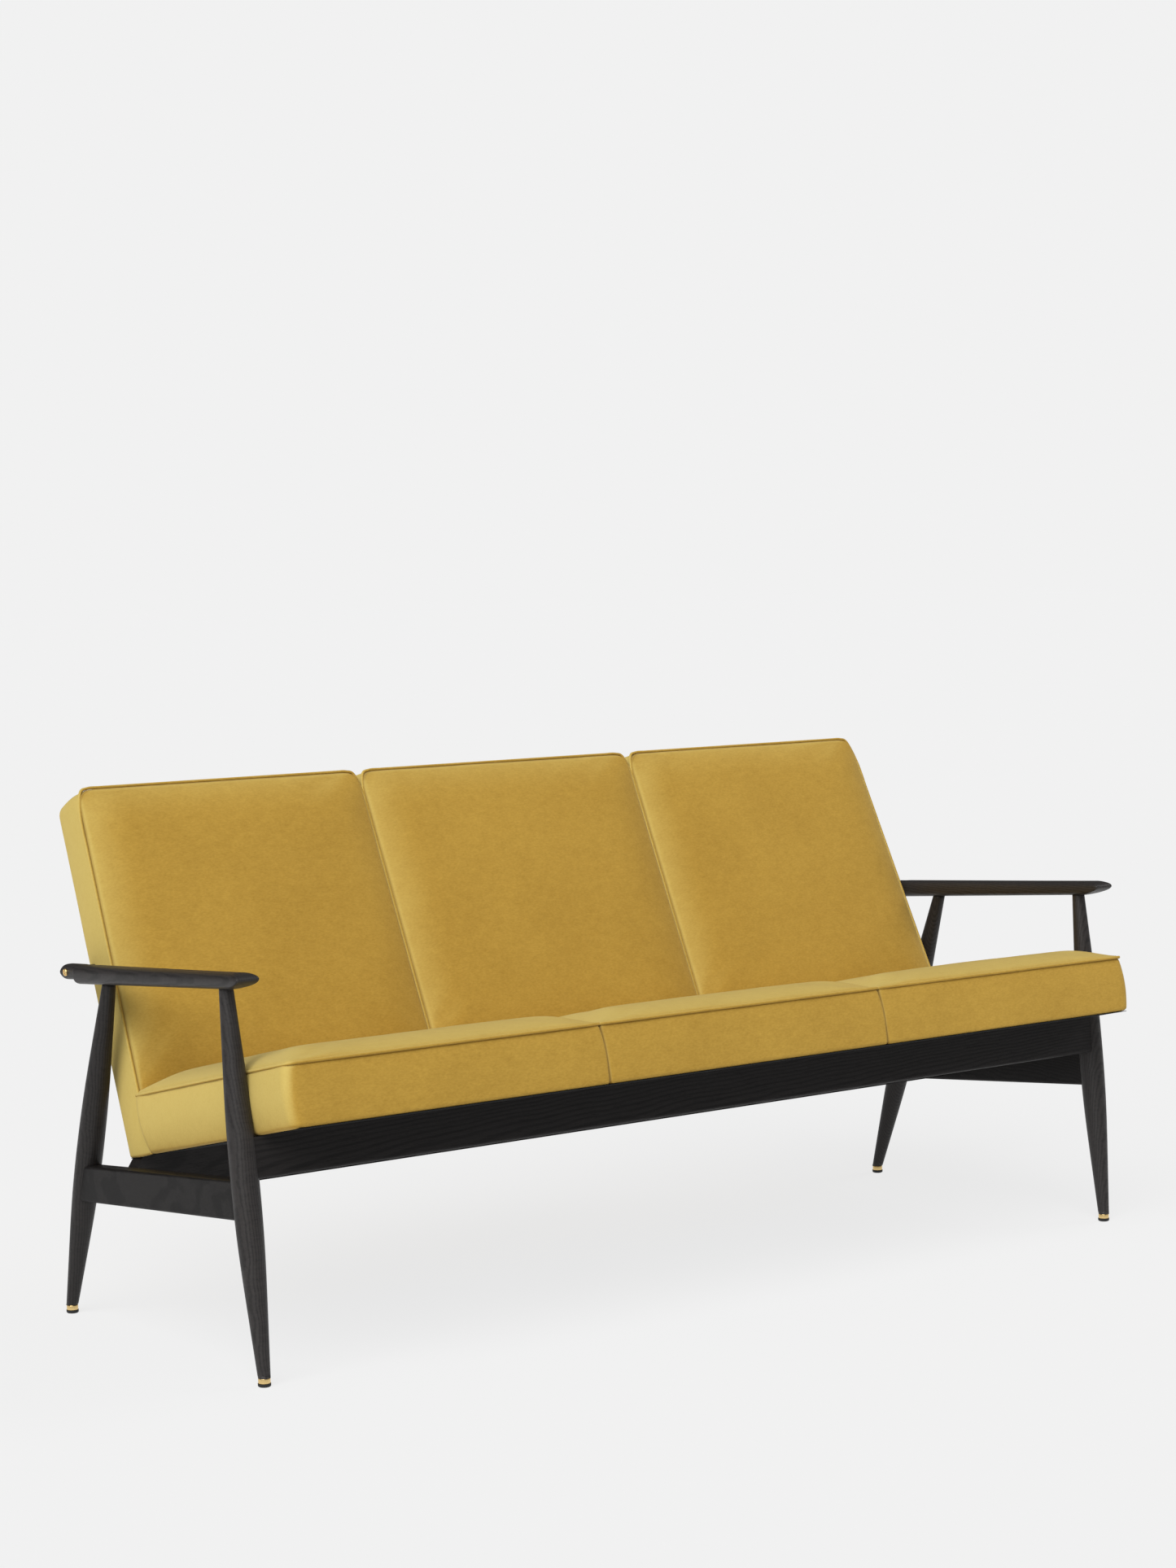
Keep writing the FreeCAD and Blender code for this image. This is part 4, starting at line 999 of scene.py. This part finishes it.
def back_place(name):
    """From a back section's axes (across, up the plane, rear to front) to the sofa's."""
    into, up = rotation_x(-math.atan(BACK_SLOPE))
    foot_z = SEAT_BOTTOM + SEAT_SLOPE * (BACK_FOOT - SEAT_FRONT)
    origin = Vector((0, BACK_FOOT, foot_z))

    def place(u, v, w):
        climb = BACK_HEIGHT - v
        depth = BACK_THICK - w
        climb += (REAR_FLARE * depth + REST_GAP) * (1 - climb / BACK_HEIGHT)
        half = BACK_HALF - BACK_TAPER * climb
        outside, inside = SECTION_HALF + SECTION_GAP, SECTION_HALF - SECTION_GAP
        low = {"left": -half, "middle": -inside, "right": outside}[name]
        high = {"left": -outside, "middle": inside, "right": half}[name]
        width = BACK_HALF - SECTION_HALF - SECTION_GAP if name != "middle" else 2 * inside
        x = low + (high - low) * u / width
        return origin + Vector((x, 0, 0)) + up * climb + into * depth

    return place


def on_edge(cushion, place, u, v, out):
    """Point of the piping: on the panel's edge, a little out and up."""
    pu, pv = cushion.plan(u, v, cushion.border)
    half_u, half_v = cushion.width / 2, cushion.depth / 2
    pu = half_u + (pu - half_u) * (half_u + out) / half_u
    pv = half_v + (pv - half_v) * (half_v + out) / half_v
    return place(pu, pv, cushion.border + out)


class SOFA_OT_seat(bpy.types.Operator):
    """Upholster the three seat sections"""
    bl_idname = "sofa.seat"
    bl_label = "Seat"

    def execute(self, context):
        sizes = context.scene.sofa_cushions
        tree = piping_tree()
        outer = SEAT_HALF - SECTION_HALF - SECTION_GAP
        limits = {
            "left": (-SEAT_HALF, outer, (0.016, 0.005, 0.003, 0.010), ("u1", "v1")),
            "middle": (-SECTION_HALF + SECTION_GAP, 2 * (SECTION_HALF - SECTION_GAP),
                       (0.005, 0.005, 0.003, 0.003), ("u0", "u1", "v1")),
            "right": (SECTION_HALF + SECTION_GAP, outer, (0.005, 0.016, 0.010, 0.003), ("u0", "v1")),
        }
        for seed, (name, (low, width, corners, held)) in enumerate(limits.items(), start=1):
            cushion = Cushion(f"velvet_seat_{name}", (width, SEAT_DEPTH), corners, corners, sizes.seat_border,
                              sizes.seat_crown, CROWN_REACH, 0.006, held, "border", bulge=0.005, drop_v1=0.45)
            place = seat_place(low)
            finish_cushion(cushion, place, sizes, seed, [f"seat_pad_{name}"])
            sides = [SEAT_DEPTH if name == free else PIPING_TURN_IN for free in ("left", "right")]
            path = [on_edge(cushion, place, u, v, PIPING_OUT) for u, v in cushion.edge_path(sides)]
            add_piping(tree, f"seat_piping_{name}", path, sizes)
        return {"FINISHED"}


class SOFA_OT_backrest(bpy.types.Operator):
    """Upholster the three back sections"""
    bl_idname = "sofa.backrest"
    bl_label = "Backrest"

    def execute(self, context):
        sizes = context.scene.sofa_cushions
        tree = piping_tree()
        outer = BACK_HALF - SECTION_HALF - SECTION_GAP
        widths = {"left": outer, "middle": 2 * (SECTION_HALF - SECTION_GAP), "right": outer}
        walls = {"left": ("u1", "v1"), "middle": ("u0", "u1", "v1"), "right": ("u0", "v1")}
        for seed, (name, width) in enumerate(widths.items(), start=4):
            rear = [0.006 if wall in walls[name] else 0.020 for wall in ("u0", "u1")] + [0.004, 0.004]
            corners = (0.028, 0.028, 0.004, 0.004)
            cushion = Cushion(f"velvet_back_{name}", (width, BACK_HEIGHT), corners, rear, BACK_THICK,
                              sizes.back_crown, CROWN_REACH, 0.012, walls[name], "panel", flat_v1=0.095)
            place = back_place(name)
            finish_cushion(cushion, place, sizes, seed, [f"back_pad_{name}", f"back_panel_{name}"])
            sides = (BACK_HEIGHT, BACK_HEIGHT)
            path = [on_edge(cushion, place, u, v, PIPING_OUT) for u, v in cushion.edge_path(sides)]
            add_piping(tree, f"back_piping_{name}", path, sizes)
        return {"FINISHED"}


# ---- carried-over parts --------------------------------------------------------------------------------

class SOFA_OT_finishes(bpy.types.Operator):
    """Mix the finishes and put them on the parts that keep their own shape"""
    bl_idname = "sofa.finishes"
    bl_label = "Finishes"

    def execute(self, context):
        finishes = context.scene.sofa_finishes
        velvet_finish(finishes)
        upright = math.pi / 2
        ash_finish("ash_front_leg", finishes, (0, upright, 0), (0.0, 0.04, 0.81))
        rear_lean = -math.atan(LEGS["rear"])
        # painted shade: the rear legs stand in shade and get a darker copy of the leg finish
        ash_finish("ash_rear_leg", finishes, (rear_lean, upright, 0), (0.0, 0.03, 0.82), depth=0.75)
        ash_finish("ash_arm", finishes, (0, 0, upright), (0.0, -0.79, -0.50))
        # painted shade: the side rails and the cross rails take darker copies of the same stain
        ash_finish("ash_side_rail", finishes, (0, 0, upright), (0.0, -0.78, -0.21), depth=0.42)
        ash_finish("ash_cross_rail", finishes, (0, 0, 0), (0.0, 0.21, -0.27), depth=0.55)
        brass_finish(finishes)
        by_slot = {
            "frame_wood": raw_wood_finish("planed_pine", (0.55, 0.4, 0.24)),
            "beech_dowel": raw_wood_finish("beech", (0.6, 0.42, 0.26)),
            "brass": material("brass"),
            "glide_plastic": moulded_finish("glide_black", (0.01, 0.01, 0.01)),
            "velvet": material("mustard_velvet"),
            "webbing": woven_finish("jute_webbing", (0.3, 0.22, 0.13), 0.004),
            "dust_cloth": woven_finish("dust_cloth", (0.012, 0.012, 0.012), 0.0025),
            "steel": steel_finish(),
            "stained_ash": material("ash_cross_rail"),
        }
        by_node = {"side_rail_left": "ash_side_rail", "side_rail_right": "ash_side_rail"}
        slots = {entry["node"]: entry["material_slot"] for entry in RECORD["subparts"]}
        for name, node in NODES.items():
            chosen = material(by_node[name]) if name in by_node else by_slot[slots[name]]
            node.data.materials.clear()
            node.data.materials.append(chosen)
        return {"FINISHED"}


# ---- studio --------------------------------------------------------------------------------------------

def look_axes(yaw, pitch, roll):
    """Right, up and forward of a camera."""
    forward = Vector((math.sin(yaw) * math.cos(pitch), math.cos(yaw) * math.cos(pitch), -math.sin(pitch)))
    right = Vector((math.cos(yaw), -math.sin(yaw), 0))
    up = right.cross(forward)
    turned_right = right * math.cos(roll) + up * math.sin(roll)
    turned_up = up * math.cos(roll) - right * math.sin(roll)
    return turned_right, turned_up, forward


def add_sun(name, toward, strength, softness, tint=(1, 1, 1)):
    lamp = bpy.data.lights.new(name, "SUN")
    lamp.energy = strength
    lamp.angle = math.radians(softness)
    lamp.color = tint
    made = bpy.data.objects.new(name, lamp)
    made.rotation_euler = Vector(toward).to_track_quat("Z", "Y").to_euler()
    bpy.context.scene.collection.objects.link(made)


def light_studio(tree):
    """A large soft light on the left and above, a dim room elsewhere, an even pale backdrop."""
    nodes, links = tree.nodes, tree.links
    lit = nodes["Background"]
    direction = nodes.new("ShaderNodeTexCoord")
    toward = nodes.new("ShaderNodeVectorMath")
    toward.operation = "DOT_PRODUCT"
    toward.inputs[1].default_value = (-0.58, -0.48, 0.66)
    links.new(direction.outputs["Generated"], toward.inputs[0])
    spread = nodes.new("ShaderNodeMapRange")
    spread.interpolation_type = "SMOOTHSTEP"
    for socket, number in zip(("From Min", "From Max", "To Min", "To Max"), (-0.3, 0.95, 0.95, 2.8)):
        spread.inputs[socket].default_value = number
    links.new(toward.outputs["Value"], spread.inputs["Value"])
    links.new(spread.outputs[0], lit.inputs["Strength"])
    backdrop = nodes.new("ShaderNodeBackground")
    backdrop.inputs["Color"].default_value = (0.88, 0.88, 0.88, 1)
    seen = nodes.new("ShaderNodeLightPath")
    either = nodes.new("ShaderNodeMixShader")
    links.new(seen.outputs["Is Camera Ray"], either.inputs[0])
    links.new(lit.outputs[0], either.inputs[1])
    links.new(backdrop.outputs[0], either.inputs[2])
    links.new(either.outputs[0], nodes["World Output"].inputs["Surface"])


class SOFA_OT_studio(bpy.types.Operator):
    """Lay the floor, hang the lights and set the camera"""
    bl_idname = "sofa.studio"
    bl_label = "Studio"

    def execute(self, context):
        scene = context.scene
        shade = scene.sofa_finishes.floor
        floor_shader = Shader("studio_floor", Specular_IOR_Level=0.0, Emission_Color=(1, 1, 1, 1),
                              Emission_Strength=0.785)
        haze = floor_shader.noise(floor_shader.place(), 3.0)
        floor_shader.set("Base Color", floor_shader.mix(haze * 0.02, tuple(shade), (0.2, 0.2, 0.2)))
        floor_shader.set("Roughness", (0.85 + haze * 0.05).clamp())
        reach = 60.0
        mesh = bpy.data.meshes.new("studio_floor")
        mesh.from_pydata([(-reach, -reach, 0), (reach, -reach, 0), (reach, reach, 0), (-reach, reach, 0)], [],
                         [(0, 1, 2, 3)])
        floor = new_object("studio_floor", mesh, floor_shader.material, smooth=False)

        world = bpy.data.worlds.new("studio")
        world.use_nodes = True
        light_studio(world.node_tree)
        scene.world = world
        add_sun("key", (-0.62, -0.42, 0.76), 3.3, 50)
        add_sun("rim", (0.75, -0.2, 0.62), 0.7, 30)

        lens = bpy.data.cameras.new("camera")
        lens.sensor_width = 36
        lens.sensor_fit = "AUTO"
        lens.lens = 71.72
        lens.shift_y = 0.1837
        lens.clip_end = 200
        lens.dof.use_dof = False
        camera = bpy.data.objects.new("camera", lens)
        right, up, forward = look_axes(math.radians(36.36), math.radians(9.29), math.radians(-1.15))
        turn = Matrix((right, up, -forward)).transposed().to_4x4()
        camera.matrix_world = Matrix.Translation((-3.002, -4.018, 1.141)) @ turn
        scene.collection.objects.link(camera)
        scene.camera = camera
        scene.view_settings.view_transform = "Standard"
        return {"FINISHED"}


# ---- panel and registration ----------------------------------------------------------------------------

STEPS = ("finishes", "legs", "ferrules", "armrests", "seat", "backrest", "studio")


class SOFA_PT_panel(bpy.types.Panel):
    """Sizes, colours and steps of the sofa"""
    bl_idname = "SOFA_PT_panel"
    bl_label = "Sofa"
    bl_space_type = "VIEW_3D"
    bl_region_type = "UI"
    bl_category = "Sofa"

    def draw(self, context):
        scene = context.scene
        for group in (scene.sofa_frame, scene.sofa_cushions, scene.sofa_finishes):
            box = self.layout.box()
            for name in group.__annotations__:
                box.prop(group, name)
        for step in STEPS:
            self.layout.operator(f"sofa.{step}")


CLASSES = (SofaFrameSizes, SofaCushionSizes, SofaFinishes, SOFA_OT_finishes, SOFA_OT_legs, SOFA_OT_ferrules,
           SOFA_OT_armrests, SOFA_OT_seat, SOFA_OT_backrest, SOFA_OT_studio, SOFA_PT_panel)
GROUPS = {"sofa_frame": SofaFrameSizes, "sofa_cushions": SofaCushionSizes, "sofa_finishes": SofaFinishes}


def register():
    for kind in CLASSES:
        bpy.utils.register_class(kind)
    for name, kind in GROUPS.items():
        setattr(bpy.types.Scene, name, bpy.props.PointerProperty(type=kind))


def unregister():
    for name in GROUPS:
        delattr(bpy.types.Scene, name)
    for kind in reversed(CLASSES):
        bpy.utils.unregister_class(kind)


def main():
    register()
    for step in STEPS:
        getattr(bpy.ops.sofa, step)()


if __name__ == "__main__":
    main()
